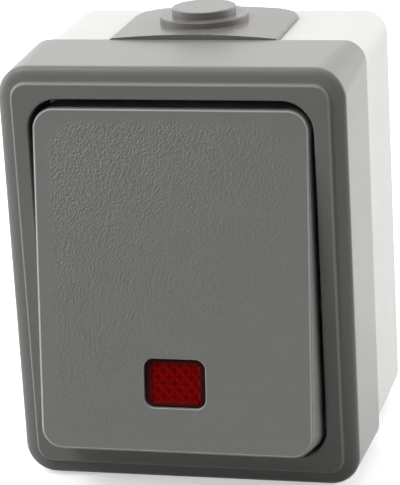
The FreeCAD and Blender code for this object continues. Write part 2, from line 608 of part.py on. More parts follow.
def build_cable_entry():
    """Soft entry: arched plate, stepped closed membrane, neck and inner lip, hollow from below."""
    body = new_body("cable_entry")
    arch = sketch_on(body, "entry_section", "XZ_Plane", "entry_back", "-entry_shift")
    half, low = value("entry_width / 2"), value("base_top")
    high, rise = value("base_top + entry_side"), value("entry_crown")
    bow = half * half / (2 * rise) + rise / 2
    sweep = math.asin(half / bow)
    corners = (Vector(-half, low), Vector(half, low), Vector(half, high), Vector(-half, high))
    bottom = arch.addGeometry(Part.LineSegment(corners[0], corners[1]), False)
    right = arch.addGeometry(Part.LineSegment(corners[1], corners[2]), False)
    circle = Part.Circle(Vector(0, high + rise - bow), Vector(0, 0, 1), bow)
    top = arch.addGeometry(Part.ArcOfCircle(circle, math.pi / 2 - sweep, math.pi / 2 + sweep), False)
    left = arch.addGeometry(Part.LineSegment(corners[3], corners[0]), False)
    for first, second in ((bottom, right), (right, top), (top, left), (left, bottom)):
        arch.addConstraint(Constraint("Coincident", first, 2, second, 1))
    arch.addConstraint(Constraint("Symmetric", bottom, 1, bottom, 2, -2))
    arch.addConstraint(Constraint("Vertical", right))
    arch.addConstraint(Constraint("Vertical", left))
    arch.addConstraint(Constraint("Equal", right, left))
    dimension(arch, Constraint("DistanceX", bottom, 1, bottom, 2, 2 * half), "entry_width")
    dimension(arch, Constraint("DistanceY", -1, 1, bottom, 1, low), "base_top")
    dimension(arch, Constraint("DistanceY", right, 1, right, 2, high - low), "entry_side")
    bow_radius = "entry_width ^ 2 / (8 * entry_crown) + entry_crown / 2"
    dimension(arch, Constraint("Radius", top, bow), bow_radius)
    pad(body, "entry_plate", arch, "entry_front - entry_back")
    front = -value("entry_front")
    fillet(
        body,
        "entry_rear_corners",
        "entry_corner",
        lambda edge: lies_at(edge, "y", -value("entry_back")) and edge.BoundBox.XLength < 1e-4,
    )
    fillet(
        body,
        "entry_edges",
        "entry_edge_round",
        lambda edge: edge.BoundBox.ZMin > high - 1e-4 and not lies_at(edge, "y", front),
    )
    steps = (("disc", "disc_diameter", "disc_top"), ("cap", "cap_diameter", "cap_top"))
    for name, size, height in steps:
        sketch = sketch_on(body, "entry_%s_outline" % name, "XY_Plane", "base_top", "-disc_shift", "-entry_axis")
        circles(sketch, size)
        pad(body, "entry_" + name, sketch, height + " - base_top")
    rims = [(value(height), value(size)) for name, size, height in steps]
    fillet(
        body,
        "entry_step_edges",
        "disc_round",
        lambda edge: any(lies_at(edge, "z", top) and spans(edge, size) for top, size in rims),
    )
    neck = sketch_on(body, "neck_outline", "XY_Plane", "base_top", "-entry_shift", "-entry_axis")
    offset_rectangle(neck, "neck_width", "neck_length", "neck_corner", "-neck_gap")
    pad(body, "neck", neck, "base_top - cavity_top", reverse=True)
    lip = sketch_on(body, "lip_outline", "XY_Plane", "cavity_top", "-entry_shift", "-entry_axis")
    offset_rectangle(lip, "neck_width", "neck_length", "neck_corner", "inner_lip")
    pad(body, "inner_lip", lip, "inner_lip", reverse=True)
    hollow = sketch_on(body, "neck_hollow_outline", "XY_Plane", "lip_bottom", "-entry_shift", "-entry_axis")
    offset_rectangle(hollow, "neck_width", "neck_length", "neck_corner", "-neck_wall")
    pocket(body, "neck_hollow", hollow, "base_top - lip_bottom", forward=True)
    for name, size, height in steps:
        sketch = sketch_on(body, name + "_hollow_outline", "XY_Plane", "lip_bottom", "-disc_shift", "-entry_axis")
        circles(sketch, size + " - 2 * membrane")
        pocket(body, name + "_hollow", sketch, height + " - membrane - lip_bottom", forward=True)


def build_cover_seal():
    """Flat ring on the ledge of the base, under the rim of the cover."""
    body = new_body("cover_seal")
    ring = sketch_on(body, "cover_seal_outline", "XZ_Plane", "ledge")
    rounded_rectangle(ring, "base_width - collar_gap", "base_height - collar_gap", "base_corner")
    rounded_rectangle(
        ring,
        "cover_width - 2 * cover_wall - collar_gap",
        "cover_height - 2 * cover_wall - collar_gap",
        "cover_corner - cover_wall",
    )
    pad(body, "cover_seal_ring", ring, "seal_thickness")


def build_front_cover():
    """Hood with a stepped front panel and a floored well for the rocker."""
    body = new_body("front_cover")
    outline = sketch_on(body, "cover_outline", "XZ_Plane", "rim_depth")
    rounded_rectangle(outline, "cover_width", "cover_height", "cover_corner")
    pad(body, "hood", outline, "shoulder - rim_depth")
    shoulder, front = -value("shoulder"), -value("panel_depth")
    fillet(body, "hood_edge", "cover_edge_round", lambda edge: lies_at(edge, "y", shoulder))
    panel = sketch_on(body, "panel_outline", "XZ_Plane", "shoulder")
    rounded_rectangle(panel, "panel_width", "panel_height", "panel_corner")
    pad(body, "raised_panel", panel, "step_height")
    panel_half = (value("panel_width / 2"), value("panel_height / 2"))
    fillet(
        body,
        "panel_foot",
        "foot_round",
        lambda edge: lies_at(edge, "y", shoulder) and within(edge, *panel_half),
    )
    fillet(body, "panel_lip", "lip_round", lambda edge: lies_at(edge, "y", front))
    opening = sketch_on(body, "opening_outline", "XZ_Plane", "panel_depth")
    rounded_rectangle(opening, "opening_width", "opening_height", "opening_corner")
    pocket(body, "well", opening, "panel_depth - well_depth")
    opening_half = (value("opening_width / 2"), value("opening_height / 2"))
    fillet(
        body,
        "opening_edge",
        "opening_round",
        lambda edge: lies_at(edge, "y", front) and within(edge, *opening_half),
    )
    hollow = sketch_on(body, "hood_hollow_outline", "XZ_Plane", "rim_depth")
    offset_rectangle(hollow, "cover_width", "cover_height", "cover_corner", "-cover_wall")
    pocket(body, "hood_hollow", hollow, "floor_rear - rim_depth", forward=True)
    border = sketch_on(body, "border_hollow_outline", "XZ_Plane", "floor_rear")
    offset_rectangle(border, "cover_width", "cover_height", "cover_corner", "-cover_wall")
    offset_rectangle(border, "opening_width", "opening_height", "opening_corner", "well_wall")
    pocket(body, "border_hollow", border, "shoulder - cover_front - floor_rear", forward=True)
    aperture = sketch_on(body, "aperture_outline", "XZ_Plane", "well_depth")
    rounded_rectangle(aperture, "aperture_width", "aperture_height", "block_corner")
    pocket(body, "aperture", aperture, "floor_thickness")
    for name, size, length in (
        ("screw_recesses", "screw_head + 2 * hole_gap", "head_recess"),
        ("screw_holes", "screw_diameter + 2 * hole_gap", "floor_thickness"),
    ):
        sketch = sketch_on(body, name + "_outline", "XZ_Plane", "well_depth")
        circles(sketch, size, COVER_POSTS)
        pocket(body, name, sketch, length)


def build_insert_seal():
    """Flat ring between the insert and the floor of the well."""
    body = new_body("insert_seal")
    ring = sketch_on(body, "insert_seal_outline", "XZ_Plane", "flange_front")
    rounded_rectangle(ring, "flange_width - deck_gap", "flange_height - deck_gap", "block_corner")
    offset_rectangle(ring, "deck_width", "deck_height", "block_corner", "collar_gap")
    pad(body, "insert_seal_ring", ring, "insert_seal_height")


def build_front_screws(label, places, seat, post):
    """Screws that go in from the front: a round head on its seat and a plain shank into the post."""
    head_size = {"Radius": "screw_head / 2", "Height": "head_height"}
    shank_size = {"Radius": "screw_diameter / 2", "Height": "%s - %s + screw_grip" % (seat, post)}
    screws = []
    for k, (x, z) in enumerate(places):
        place = (x, "-" + seat, z)
        head = primitive("Cylinder", "%s_head_%d" % (label, k), head_size, place, "-y")
        shank = primitive("Cylinder", "%s_shank_%d" % (label, k), shank_size, place, "y")
        screws.append(fuse("%s_%d" % (label, k), [head, shank]))
    compound(label, screws)


def build_carrier_plate():
    """Steel strap across the box: two tabs, a middle field and its window."""
    body = new_body("carrier_plate")
    tabs = sketch_on(body, "carrier_tabs_outline", "XZ_Plane", "carrier_depth")
    rounded_rectangle(tabs, "carrier_width", "carrier_tab", "block_corner")
    pad(body, "carrier_tabs", tabs, "carrier_thickness")
    field = sketch_on(body, "carrier_field_outline", "XZ_Plane", "carrier_depth")
    rounded_rectangle(field, "flange_width", "flange_height - 2 * block_corner", "block_corner")
    pad(body, "carrier_field", field, "carrier_thickness")
    window = sketch_on(body, "carrier_window_outline", "XZ_Plane", "frame_back")
    rounded_rectangle(window, "carrier_window_width", "carrier_window_height", "block_corner")
    pocket(body, "carrier_window", window, "carrier_thickness")
    holes = sketch_on(body, "carrier_holes_outline", "XZ_Plane", "frame_back")
    circles(holes, "screw_diameter + 2 * hole_gap", CARRIER_POSTS)
    circles(holes, "rivet_diameter + 2 * screw_gap", RIVET_PLACES)
    pocket(body, "carrier_holes", holes, "carrier_thickness")


def build_contact_block():
    """Insulating block with a contact chamber and four terminal pockets round it."""
    body = new_body("contact_block")
    outline = sketch_on(body, "block_outline", "XZ_Plane", "block_back")
    rounded_rectangle(outline, "block_size", "block_size", "block_corner")
    pad(body, "block", outline, "carrier_depth - block_back")
    depth = "carrier_depth - chamber_floor"
    reach = "(pillar_inner - pillar_gap)"
    chamber = sketch_on(body, "chamber_outline", "XZ_Plane", "carrier_depth")
    rectangle(chamber, "-chamber_width / 2", "chamber_width / 2", "-" + reach, reach)
    pocket(body, "chamber", chamber, depth)
    channel = sketch_on(body, "channel_outline", "XZ_Plane", "carrier_depth")
    rectangle(channel, "-" + reach, reach, "-channel_width / 2", "channel_width / 2")
    pocket(body, "channel", channel, depth)
    rivets = sketch_on(body, "rivet_holes_outline", "XZ_Plane", "carrier_depth")
    circles(rivets, "rivet_diameter + 2 * screw_gap", RIVET_PLACES)
    pocket(body, "rivet_holes", rivets, "carrier_depth - block_back")
    side = "(pillar_width / 2 + pillar_gap)"
    seat = sketch_on(body, "terminal_seat_outline", "XZ_Plane", "carrier_depth")
    rectangle(seat, "-" + side, side, reach, "pillar_outer")
    seats = pocket(body, "terminal_seat", seat, "carrier_depth - pillar_back")
    wire = sketch_on(body, "wire_way_outline", "XZ_Plane", "pillar_back", "0", "pillar_middle")
    circles(wire, "wire_hole + 2 * pillar_gap")
    wires = pocket(body, "wire_way", wire, "pillar_back - block_back")
    access = sketch_on(body, "clamp_access_outline", "XY_Plane", "block_size / 2", "0", "-wire_middle")
    circles(access, "clamp_access")
    accesses = pocket(body, "clamp_access_hole", access, "block_size / 2 - pillar_middle")
    around = body.newObject("PartDesign::PolarPattern", "terminal_places")
    around.Originals = [seats, wires, accesses]
    around.Axis = ([item for item in body.Origin.OriginFeatures if item.Role == "Y_Axis"][0], [""])
    around.Angle = 360
    around.Occurrences = 4
    body.Tip = around


def build_bearing_frame():
    """Front of the insert: flange, deck with a slot, two bearing ears and a lamp socket."""
    body = new_body("bearing_frame")
    flange = sketch_on(body, "flange_outline", "XZ_Plane", "frame_back")
    rounded_rectangle(flange, "flange_width", "flange_height", "block_corner")
    pad(body, "flange", flange, "flange_thickness")
    deck = sketch_on(body, "deck_outline", "XZ_Plane", "flange_front")
    rounded_rectangle(deck, "deck_width", "deck_height", "block_corner")
    pad(body, "deck", deck, "deck_depth - flange_front")
    for side, start in (("right", "ear_inner"), ("left", "-(ear_inner + ear_thickness)")):
        stem = sketch_on(body, "ear_stem_%s_outline" % side, "YZ_Plane", start)
        rectangle(stem, "-pivot_depth", "-deck_depth", "-ear_radius", "ear_radius")
        pad(body, "ear_stem_" + side, stem, "ear_thickness")
        eye = sketch_on(body, "ear_eye_%s_outline" % side, "YZ_Plane", start)
        circles(eye, "2 * ear_radius", (("-pivot_depth", "0"),))
        pad(body, "ear_eye_" + side, eye, "ear_thickness")
    bores = sketch_on(body, "ear_bores_outline", "YZ_Plane", "pin_span / 2")
    circles(bores, "pin_diameter + 2 * pin_gap", (("-pivot_depth", "0"),))
    pocket(body, "ear_bores", bores, "pin_span")
    slot = sketch_on(body, "slot_outline", "XZ_Plane", "deck_depth")
    rounded_rectangle(slot, "slot_width", "slot_height", "block_corner")
    pocket(body, "slot", slot, "deck_depth - frame_back")
    socket = sketch_on(body, "lamp_socket_outline", "XZ_Plane", "deck_depth", "0", "-lamp_drop")
    circles(socket, "holder_diameter + 2 * holder_gap")
    pocket(body, "lamp_socket", socket, "deck_depth - flange_front")
    leads = sketch_on(body, "lead_holes_outline", "XZ_Plane", "flange_front", "0", "-lamp_drop")
    circles(leads, "lead_diameter + 2 * pillar_gap", (("lead_half", "0"), ("-lead_half", "0")))
    pocket(body, "lead_holes", leads, "flange_thickness")
    rivets = sketch_on(body, "frame_rivet_holes_outline", "XZ_Plane", "deck_depth")
    circles(rivets, "rivet_diameter + 2 * screw_gap", RIVET_PLACES)
    pocket(body, "frame_rivet_holes", rivets, "deck_depth - frame_back")


def build_frame_rivets():
    """Two rivets through frame, carrier and block, with a head at each end."""
    rivets = []
    for k, (x, z) in enumerate(RIVET_PLACES):
        length = "deck_depth - block_back"
        head = {"Radius": "rivet_head / 2", "Height": "rivet_head_height"}
        shank = {"Radius": "rivet_diameter / 2", "Height": length}
        rivets.append(
            fuse(
                "frame_rivet_%d" % k,
                [
                    primitive("Cylinder", "rivet_shank_%d" % k, shank, (x, "-block_back", z), "-y"),
                    primitive("Cylinder", "rivet_front_%d" % k, head, (x, "-deck_depth", z), "-y"),
                    primitive("Cylinder", "rivet_back_%d" % k, head, (x, "-block_back", z), "y"),
                ],
            )
        )
    compound("frame_rivets", rivets)


def terminal_pillar(label, quarter_turns):
    """Brass clamp of one terminal, drawn at the top of the block and turned about the wall's normal."""
    body = new_body(label)
    pillar = sketch_on(body, label + "_outline", "XZ_Plane", "pillar_back")
    rectangle(pillar, "-pillar_width / 2", "pillar_width / 2", "pillar_inner", "pillar_outer")
    pad(body, label + "_pillar", pillar, "strip_front - pillar_back")
    wire = sketch_on(body, label + "_wire_outline", "XZ_Plane", "pillar_back", "0", "pillar_middle")
    circles(wire, "wire_hole")
    pocket(body, label + "_wire", wire, "wire_hole_depth", forward=True)
    clamp = sketch_on(body, label + "_clamp_outline", "XY_Plane", "pillar_outer", "0", "-wire_middle")
    circles(clamp, "clamp_screw + 2 * screw_gap")
    pocket(body, label + "_clamp", clamp, "pillar_height / 2")
    body.Placement.Rotation = FreeCAD.Rotation(Vector(0, 1, 0), 90 * quarter_turns)
    return body


def build_switched_terminal(label, quarter_turns):
    """Terminal with a cranked strip that carries a fixed contact."""
    body = terminal_pillar(label, quarter_turns)
    inner = "(rest_out - tip_diameter / 2 - pillar_gap)"
    outer = "(rest_out + tip_diameter / 2 + pillar_gap)"
    strip = sketch_on(body, label + "_strip_outline", "YZ_Plane", "-strip_width / 2")
    polygon(
        strip,
        (
            ("-chamber_floor", "pillar_inner"),
            ("-strip_front", "pillar_inner"),
            ("-strip_front", outer + " + strip_thickness"),
            ("-fixed_strip", outer),
            ("-fixed_strip", inner),
            ("-fixed_strip + strip_thickness", inner),
            ("-fixed_strip + strip_thickness", outer + " - strip_thickness / 2"),
            ("-chamber_floor", outer + " + strip_thickness / 2"),
        ),
    )
    pad(body, label + "_strip", strip, "strip_width")


def build_common_terminal():
    """Terminal on the right with a straight strip, a post and the cross bar of the contact bridge."""
    label = "common_terminal"
    body = terminal_pillar(label, 1)
    inner_width = "(bridge_width / 2 - bridge_thickness - pillar_gap)"
    strip = sketch_on(body, "common_strip_outline", "XZ_Plane", "chamber_floor")
    rectangle(strip, "-strip_width / 2", "strip_width / 2", "-" + inner_width, "pillar_inner")
    pad(body, "common_strip", strip, "strip_thickness")
    post = sketch_on(body, "common_post_outline", "XZ_Plane", "strip_front")
    rectangle(post, "-bar_diameter / 2", "bar_diameter / 2", "-" + inner_width, inner_width)
    pad(body, "common_post", post, "contact_pivot - strip_front")
    bar = sketch_on(body, "common_bar_outline", "XY_Plane", "-bridge_width / 2 - pillar_gap")
    circles(bar, "bar_diameter", (("0", "-contact_pivot"),))
    pad(body, "common_bar", bar, "bridge_width + 2 * pillar_gap")


def build_fixed_contacts():
    """Silver tips on the cranked strips."""
    size = {"Radius": "tip_diameter / 2", "Height": "tip_height"}
    tips = [
        primitive("Cylinder", "fixed_tip_upper", size, ("0", "-fixed_strip", "rest_out"), "-y"),
        primitive("Cylinder", "fixed_tip_lower", size, ("0", "-fixed_strip", "-rest_out"), "-y"),
    ]
    compound("fixed_contacts", tips)


def build_terminal_screws():
    """One clamp screw for each terminal, from outside towards the wire hole."""
    screws = []
    depth = "-wire_middle"
    ways = (("0", "", "z"), ("", "0", "x"), ("0", "-", "-z"), ("-", "0", "-x"))
    for k, (across, upright, axis) in enumerate(ways):
        x = "0" if across == "0" else across + "pillar_outer"
        z = "0" if upright == "0" else upright + "pillar_outer"
        inward = {"z": "-z", "-z": "z", "x": "-x", "-x": "x"}[axis]
        head = {"Radius": "clamp_head / 2", "Height": "clamp_head_height"}
        shank = {"Radius": "clamp_screw / 2", "Height": "pillar_height / 2 - wire_hole / 2"}
        screws.append(
            fuse(
                "terminal_screw_%d" % k,
                [
                    primitive("Cylinder", "clamp_head_%d" % k, head, (x, depth, z), axis),
                    primitive("Cylinder", "clamp_shank_%d" % k, shank, (x, depth, z), inward),
                ],
            )
        )
    compound("terminal_screws", screws)


def build_lamp():
    """Pilot lamp, its tubular holder and the two leads to the terminals."""
    holder = new_body("lamp_holder")
    tube = sketch_on(holder, "holder_outline", "XZ_Plane", "flange_front", "0", "-lamp_drop")
    circles(tube, "holder_diameter")
    pad(holder, "holder_tube", tube, "holder_front - flange_front")
    seat = sketch_on(holder, "holder_seat_outline", "XZ_Plane", "holder_front", "0", "-lamp_drop")
    circles(seat, "lamp_diameter + 2 * holder_gap")
    pocket(holder, "holder_seat", seat, "holder_front - lamp_foot")
    ways = sketch_on(holder, "holder_leads_outline", "XZ_Plane", "lamp_foot", "0", "-lamp_drop")
    circles(ways, "lead_diameter + 2 * holder_gap", (("lead_half", "0"), ("-lead_half", "0")))
    pocket(holder, "holder_leads", ways, "lamp_foot - flange_front")

    radius = "lamp_diameter / 2"
    stem = {"Radius": radius, "Height": "lamp_tip - lamp_foot - " + radius}
    tip_place = ("0", "-lamp_tip + " + radius, "-lamp_drop")
    bulb = [
        primitive("Cylinder", "lamp_stem", stem, ("0", "-lamp_foot", "-lamp_drop"), "-y"),
        primitive("Sphere", "lamp_dome", {"Radius": radius}, tip_place),
    ]
    node(fuse("glow_lamp", bulb), "glow_lamp")

    wire = value("lead_diameter / 2")
    foot, level = -value("lamp_foot"), -value("lamp_drop")
    bend = -value("carrier_depth + carrier_thickness / 2")
    seat_level = -value("strip_front")
    half, middle = value("lead_half"), -value("pillar_middle")
    side = -value("pillar_inner + lead_diameter")
    routes = (
        ((half, foot, level), (half, bend, level), (half, bend, middle), (half, seat_level, middle)),
        ((-half, foot, level), (-half, bend, level), (side, bend, 0), (side, seat_level, 0)),
    )
    leads = []
    for route in routes:
        pieces = []
        for start, end in zip(route, route[1:]):
            run = Vector(*end) - Vector(*start)
            pieces.append(Part.makeCylinder(wire, run.Length, Vector(*start), run))
        pieces += [Part.makeSphere(wire, Vector(*joint)) for joint in route[1:-1]]
        leads.append(pieces[0].multiFuse(pieces[1:]))
    both = doc.addObject("Part::Feature", "lamp_leads")
    both.Shape = Part.makeCompound(leads)
    node(both, "lamp_leads")


def rocker_outline(body, name, depth, flare, inset="0"):
    """Outline of the rocker at a depth, with its share of the flare, or that of its hollow."""
    sketch = sketch_on(body, name, "XZ_Plane", depth)
    rounded_rectangle(
        sketch,
        "rocker_width + 2 * (flare_side * %s - %s)" % (flare, inset),
        "rocker_length + 2 * (flare_end * %s - %s)" % (flare, inset),
        "rocker_corner - " + inset,
    )
    return sketch


def build_rocker():
    """Large key about its own axis: face, walls, window, ribs and the legs that clip into the cradle."""
    body = new_body("rocker")
    outlines = (
        rocker_outline(body, "rocker_foot", "skirt_rear", "1"),
        rocker_outline(body, "rocker_front", "rocker_face", "0"),
    )
    loft(body, "AdditiveLoft", "rocker_block", outlines)
    front = -value("rocker_face")
    fillet(body, "rocker_edge", "rocker_round", lambda edge: lies_at(edge, "y", front))
    hollows = (
        rocker_outline(body, "hollow_foot", "skirt_rear", "1", "rocker_wall"),
        rocker_outline(body, "hollow_front", "plate_rear", "plate_flare", "rocker_wall"),
    )
    loft(body, "SubtractiveLoft", "rocker_hollow", hollows)
    for side, sign in (("right", ""), ("left", "-")):
        name = "rocker_rib_" + side
        rib = sketch_on(body, name + "_outline", "XZ_Plane", "plate_rear", sign + "rocker_rib_x")
        end = "(rocker_length / 2 - rocker_wall / 2)"
        rectangle(rib, "-rib_thickness / 2", "rib_thickness / 2", "-" + end, end)
        pad(body, name, rib, "rocker_rib", reverse=True)
    for k, (x, z) in enumerate(mirrored("leg_x", "leg_z")):
        leg = sketch_on(body, "leg_%d_outline" % k, "XZ_Plane", "plate_rear", x, z)
        rectangle(leg, "-leg_width / 2", "leg_width / 2", "-leg_thickness / 2", "leg_thickness / 2")
        pad(body, "leg_%d" % k, leg, "leg_length", reverse=True)
    window = sketch_on(body, "window_outline", "XZ_Plane", "rocker_face", "0", "-window_drop")
    rounded_rectangle(window, "window_width", "window_height", "window_corner")
    pocket(body, "window", window, "rocker_plate")
    half_width, low = value("window_width / 2"), value("window_drop + window_height / 2")
    fillet(
        body,
        "window_edge",
        "window_round",
        lambda edge: lies_at(edge, "y", front) and within(edge, half_width, low),
    )
    with_rocker(body)


def build_lens():
    """Red window that is pushed in from behind and stops on its flange."""
    body = new_body("lens")
    face = sketch_on(body, "lens_outline", "XZ_Plane", "plate_rear", "0", "-window_drop")
    offset_rectangle(face, "window_width", "window_height", "window_corner", "-lens_gap")
    pad(body, "lens_face", face, "rocker_plate - lens_recess")
    flange = sketch_on(body, "lens_flange_outline", "XZ_Plane", "plate_rear", "0", "-window_drop")
    offset_rectangle(flange, "window_width", "window_height", "window_corner", "lens_flange")
    pad(body, "lens_back", flange, "lens_flange", reverse=True)
    with_rocker(body)


def build_cradle():
    """Carrier of the rocker: plate with sockets, barrel with bearing pins, and the spring tower."""
    body = new_body("cradle")
    plate = sketch_on(body, "cradle_outline", "XZ_Plane", "cradle_front")
    rounded_rectangle(plate, "cradle_width", "cradle_height", "block_corner")
    pad(body, "cradle_field", plate, "cradle_plate", reverse=True)
    for name, size, length in (
        ("barrel", "barrel_diameter", "cradle_width"),
        ("pins", "pin_diameter", "pin_span + ear_gap"),
    ):
        sketch = sketch_on(body, name + "_outline", "YZ_Plane", "-(%s) / 2" % length)
        circles(sketch, size)
        pad(body, name, sketch, length)
    tower = sketch_on(body, "tower_outline", "XZ_Plane", "0")
    circles(tower, "tower_diameter")
    pad(body, "tower", tower, "tower_length", reverse=True)
    bore = sketch_on(body, "bore_outline", "XZ_Plane", "-tower_length")
    circles(bore, "bore_diameter")
    pocket(body, "bore", bore, "tower_length - bore_seat", forward=True)
    for k, (x, z) in enumerate(mirrored("leg_x", "leg_z")):
        socket = sketch_on(body, "socket_%d_outline" % k, "XZ_Plane", "cradle_front", x, z)
        wide, high = "(leg_width / 2 + cradle_gap)", "(leg_thickness / 2 + cradle_gap)"
        rectangle(socket, "-" + wide, wide, "-" + high, high)
        pocket(body, "socket_%d" % k, socket, "cradle_plate")
    with_rocker(body)


def build_plunger():
    """Guided pin with a tapered nose and a ball tip that pushes the contact bridge over."""
    radius = "(bore_diameter / 2 - plunger_gap)"
    guide = {"Radius": radius, "Height": "plunger_shoulder - plunger_start"}
    taper = {"Radius1": radius, "Radius2": "ball_radius", "Height": "ball_centre - plunger_shoulder"}
    parts = [
        primitive("Cylinder", "plunger_guide", guide, ("0", "plunger_start", "0"), "y"),
        primitive("Cone", "plunger_taper", taper, ("0", "plunger_shoulder", "0"), "y"),
        primitive("Sphere", "plunger_ball", {"Radius": "ball_radius"}, ("0", "ball_centre", "0")),
    ]
    with_rocker(node(fuse("plunger", parts), "plunger"))


def build_plunger_spring():
    """Helical spring between the seat of the bore and the plunger."""
    wire = value("wire_diameter")
    radius = value("bore_diameter / 2 - plunger_gap - wire_diameter / 2")
    start, end = value("bore_seat") + wire / 2, value("plunger_start") - wire / 2
    helix = Part.makeHelix((end - start) / value("spring_turns"), end - start, radius)
    section = Part.Wire(Part.makeCircle(wire / 2, Vector(radius, 0, 0), Vector(0, 1, 0)))
    coil = Part.Wire(helix.Edges).makePipeShell([section], True, True)
    coil.rotate(Vector(0, 0, 0), Vector(1, 0, 0), -90)
    coil.translate(Vector(0, start, 0))
    spring = doc.addObject("Part::Feature", "plunger_spring")
    spring.Shape = Part.makeCompound([coil])
    with_rocker(node(spring, "plunger_spring"))


def build_contact_bridge():
    """Shallow V of sheet with two ears on the common bar."""
    body = new_body("contact_bridge")
    rise = "bridge_arm * tan(bridge_slope)"
    sheet_depth = "bridge_thickness / cos(bridge_slope)"
    front, back = "-bridge_vertex", "-bridge_vertex + " + sheet_depth
    strip = sketch_on(body, "bridge_outline", "YZ_Plane", "-bridge_width / 2")
    polygon(
        strip,
        (
            (front, "0"),
            (front + " - " + rise, "bridge_arm"),
            (back + " - " + rise, "bridge_arm"),
            (back, "0"),
            (back + " - " + rise, "-bridge_arm"),
            (front + " - " + rise, "-bridge_arm"),
        ),
    )
    pad(body, "bridge_strip", strip, "bridge_width")
    for side, start in (("right", "bridge_width / 2 - bridge_thickness"), ("left", "-bridge_width / 2")):
        ear = sketch_on(body, "bridge_ear_%s_outline" % side, "YZ_Plane", start)
        ear_front = "-bridge_vertex + bridge_thickness / 2"
        rectangle(ear, ear_front, "bridge_ear", "-bridge_ear", "bridge_ear")
        pad(body, "bridge_ear_" + side, ear, "bridge_thickness")
    bore = sketch_on(body, "bridge_bore_outline", "YZ_Plane", "bridge_width / 2")
    circles(bore, "bar_diameter + 2 * bar_gap")
    pocket(body, "bridge_bore", bore, "bridge_width")
    with_contact(body)


def build_bridge_contacts():
    """Silver tips under both arms of the contact bridge."""
    tips = []
    for name, sign in (("upper", ""), ("lower", "-")):
        back = "(bridge_thickness * cos(bridge_slope) - bridge_vertex - tip_arm * sin(bridge_slope))"
        out = "(tip_arm * cos(bridge_slope) + bridge_thickness * sin(bridge_slope))"
        angle = "-90 + bridge_slope" if sign == "" else "-90 - bridge_slope"
        size = {"Radius": "tip_diameter / 2", "Height": "tip_height"}
        place = ("0", back, sign + out)
        tips.append(primitive("Cylinder", "bridge_tip_" + name, size, place, turn=angle))
    with_contact(compound("bridge_contacts", tips))


build_base_housing()
build_cable_entry()
build_cover_seal()
build_front_cover()
build_front_screws("cover_screws", COVER_POSTS, "head_seat", "floor_rear")
build_insert_seal()
build_carrier_plate()
build_front_screws("carrier_screws", CARRIER_POSTS, "frame_back", "carrier_depth")
build_contact_block()
build_bearing_frame()
build_frame_rivets()
build_common_terminal()
terminal_pillar("neutral_terminal", 3)
build_switched_terminal("upper_terminal", 0)
build_switched_terminal("lower_terminal", 2)
build_fixed_contacts()
build_terminal_screws()
build_lamp()
build_rocker()
build_lens()
build_cradle()
build_plunger()
build_plunger_spring()
build_contact_bridge()
build_bridge_contacts()
doc.recompute()

for item in doc.Objects:
    if "Invalid" in item.State or "Error" in item.State:
        raise ValueError("%s failed: %s" % (item.Label, item.State))
os.makedirs("parts", exist_ok=True)
for item in nodes:
    shape = item.Shape
    if shape.isNull() or not shape.isValid() or shape.Volume <= 0:
        raise ValueError("%s has no valid solid" % item.Label)
    print("%-18s solids %d volume %9.2f mm3" % (item.Label, len(shape.Solids), shape.Volume))
for item in nodes:
    item.Shape.exportStep("parts/%s.step" % item.Label)
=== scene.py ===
import json
import math

import bmesh
import bpy
from mathutils import Matrix, Vector


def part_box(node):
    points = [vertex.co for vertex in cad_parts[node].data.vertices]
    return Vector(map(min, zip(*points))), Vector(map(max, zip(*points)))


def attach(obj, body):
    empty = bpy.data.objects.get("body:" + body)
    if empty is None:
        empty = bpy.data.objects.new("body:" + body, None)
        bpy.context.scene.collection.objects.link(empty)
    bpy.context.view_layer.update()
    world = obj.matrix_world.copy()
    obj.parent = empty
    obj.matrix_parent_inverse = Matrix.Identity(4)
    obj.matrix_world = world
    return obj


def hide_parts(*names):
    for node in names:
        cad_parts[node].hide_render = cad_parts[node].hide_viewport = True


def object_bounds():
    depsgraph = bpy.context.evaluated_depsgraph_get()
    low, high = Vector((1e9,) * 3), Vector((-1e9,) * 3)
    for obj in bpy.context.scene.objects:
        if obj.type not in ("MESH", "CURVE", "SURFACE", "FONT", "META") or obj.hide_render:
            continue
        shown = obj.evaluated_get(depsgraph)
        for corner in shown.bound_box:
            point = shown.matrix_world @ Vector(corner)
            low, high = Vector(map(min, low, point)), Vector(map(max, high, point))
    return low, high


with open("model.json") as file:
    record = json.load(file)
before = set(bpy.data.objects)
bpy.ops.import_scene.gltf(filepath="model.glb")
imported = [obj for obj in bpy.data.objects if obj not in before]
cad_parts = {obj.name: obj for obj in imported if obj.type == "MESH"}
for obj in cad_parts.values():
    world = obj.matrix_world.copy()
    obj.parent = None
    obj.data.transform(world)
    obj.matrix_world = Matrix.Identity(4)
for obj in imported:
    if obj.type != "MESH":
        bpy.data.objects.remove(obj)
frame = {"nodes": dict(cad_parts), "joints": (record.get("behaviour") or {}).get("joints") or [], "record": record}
first_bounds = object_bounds()

# Lengths are in metres. A depth is measured from the wall to the front, a side or an end inwards from the
# outline. Places that lie within NEAR of each other count as one.
MM = 0.001
NEAR = 0.002 * MM
TO_FRONT = (math.pi / 2, 0, 0)
CORNER_STEPS = 12
EDGE_STEPS = 4
SMOOTH_ANGLE = math.radians(40)

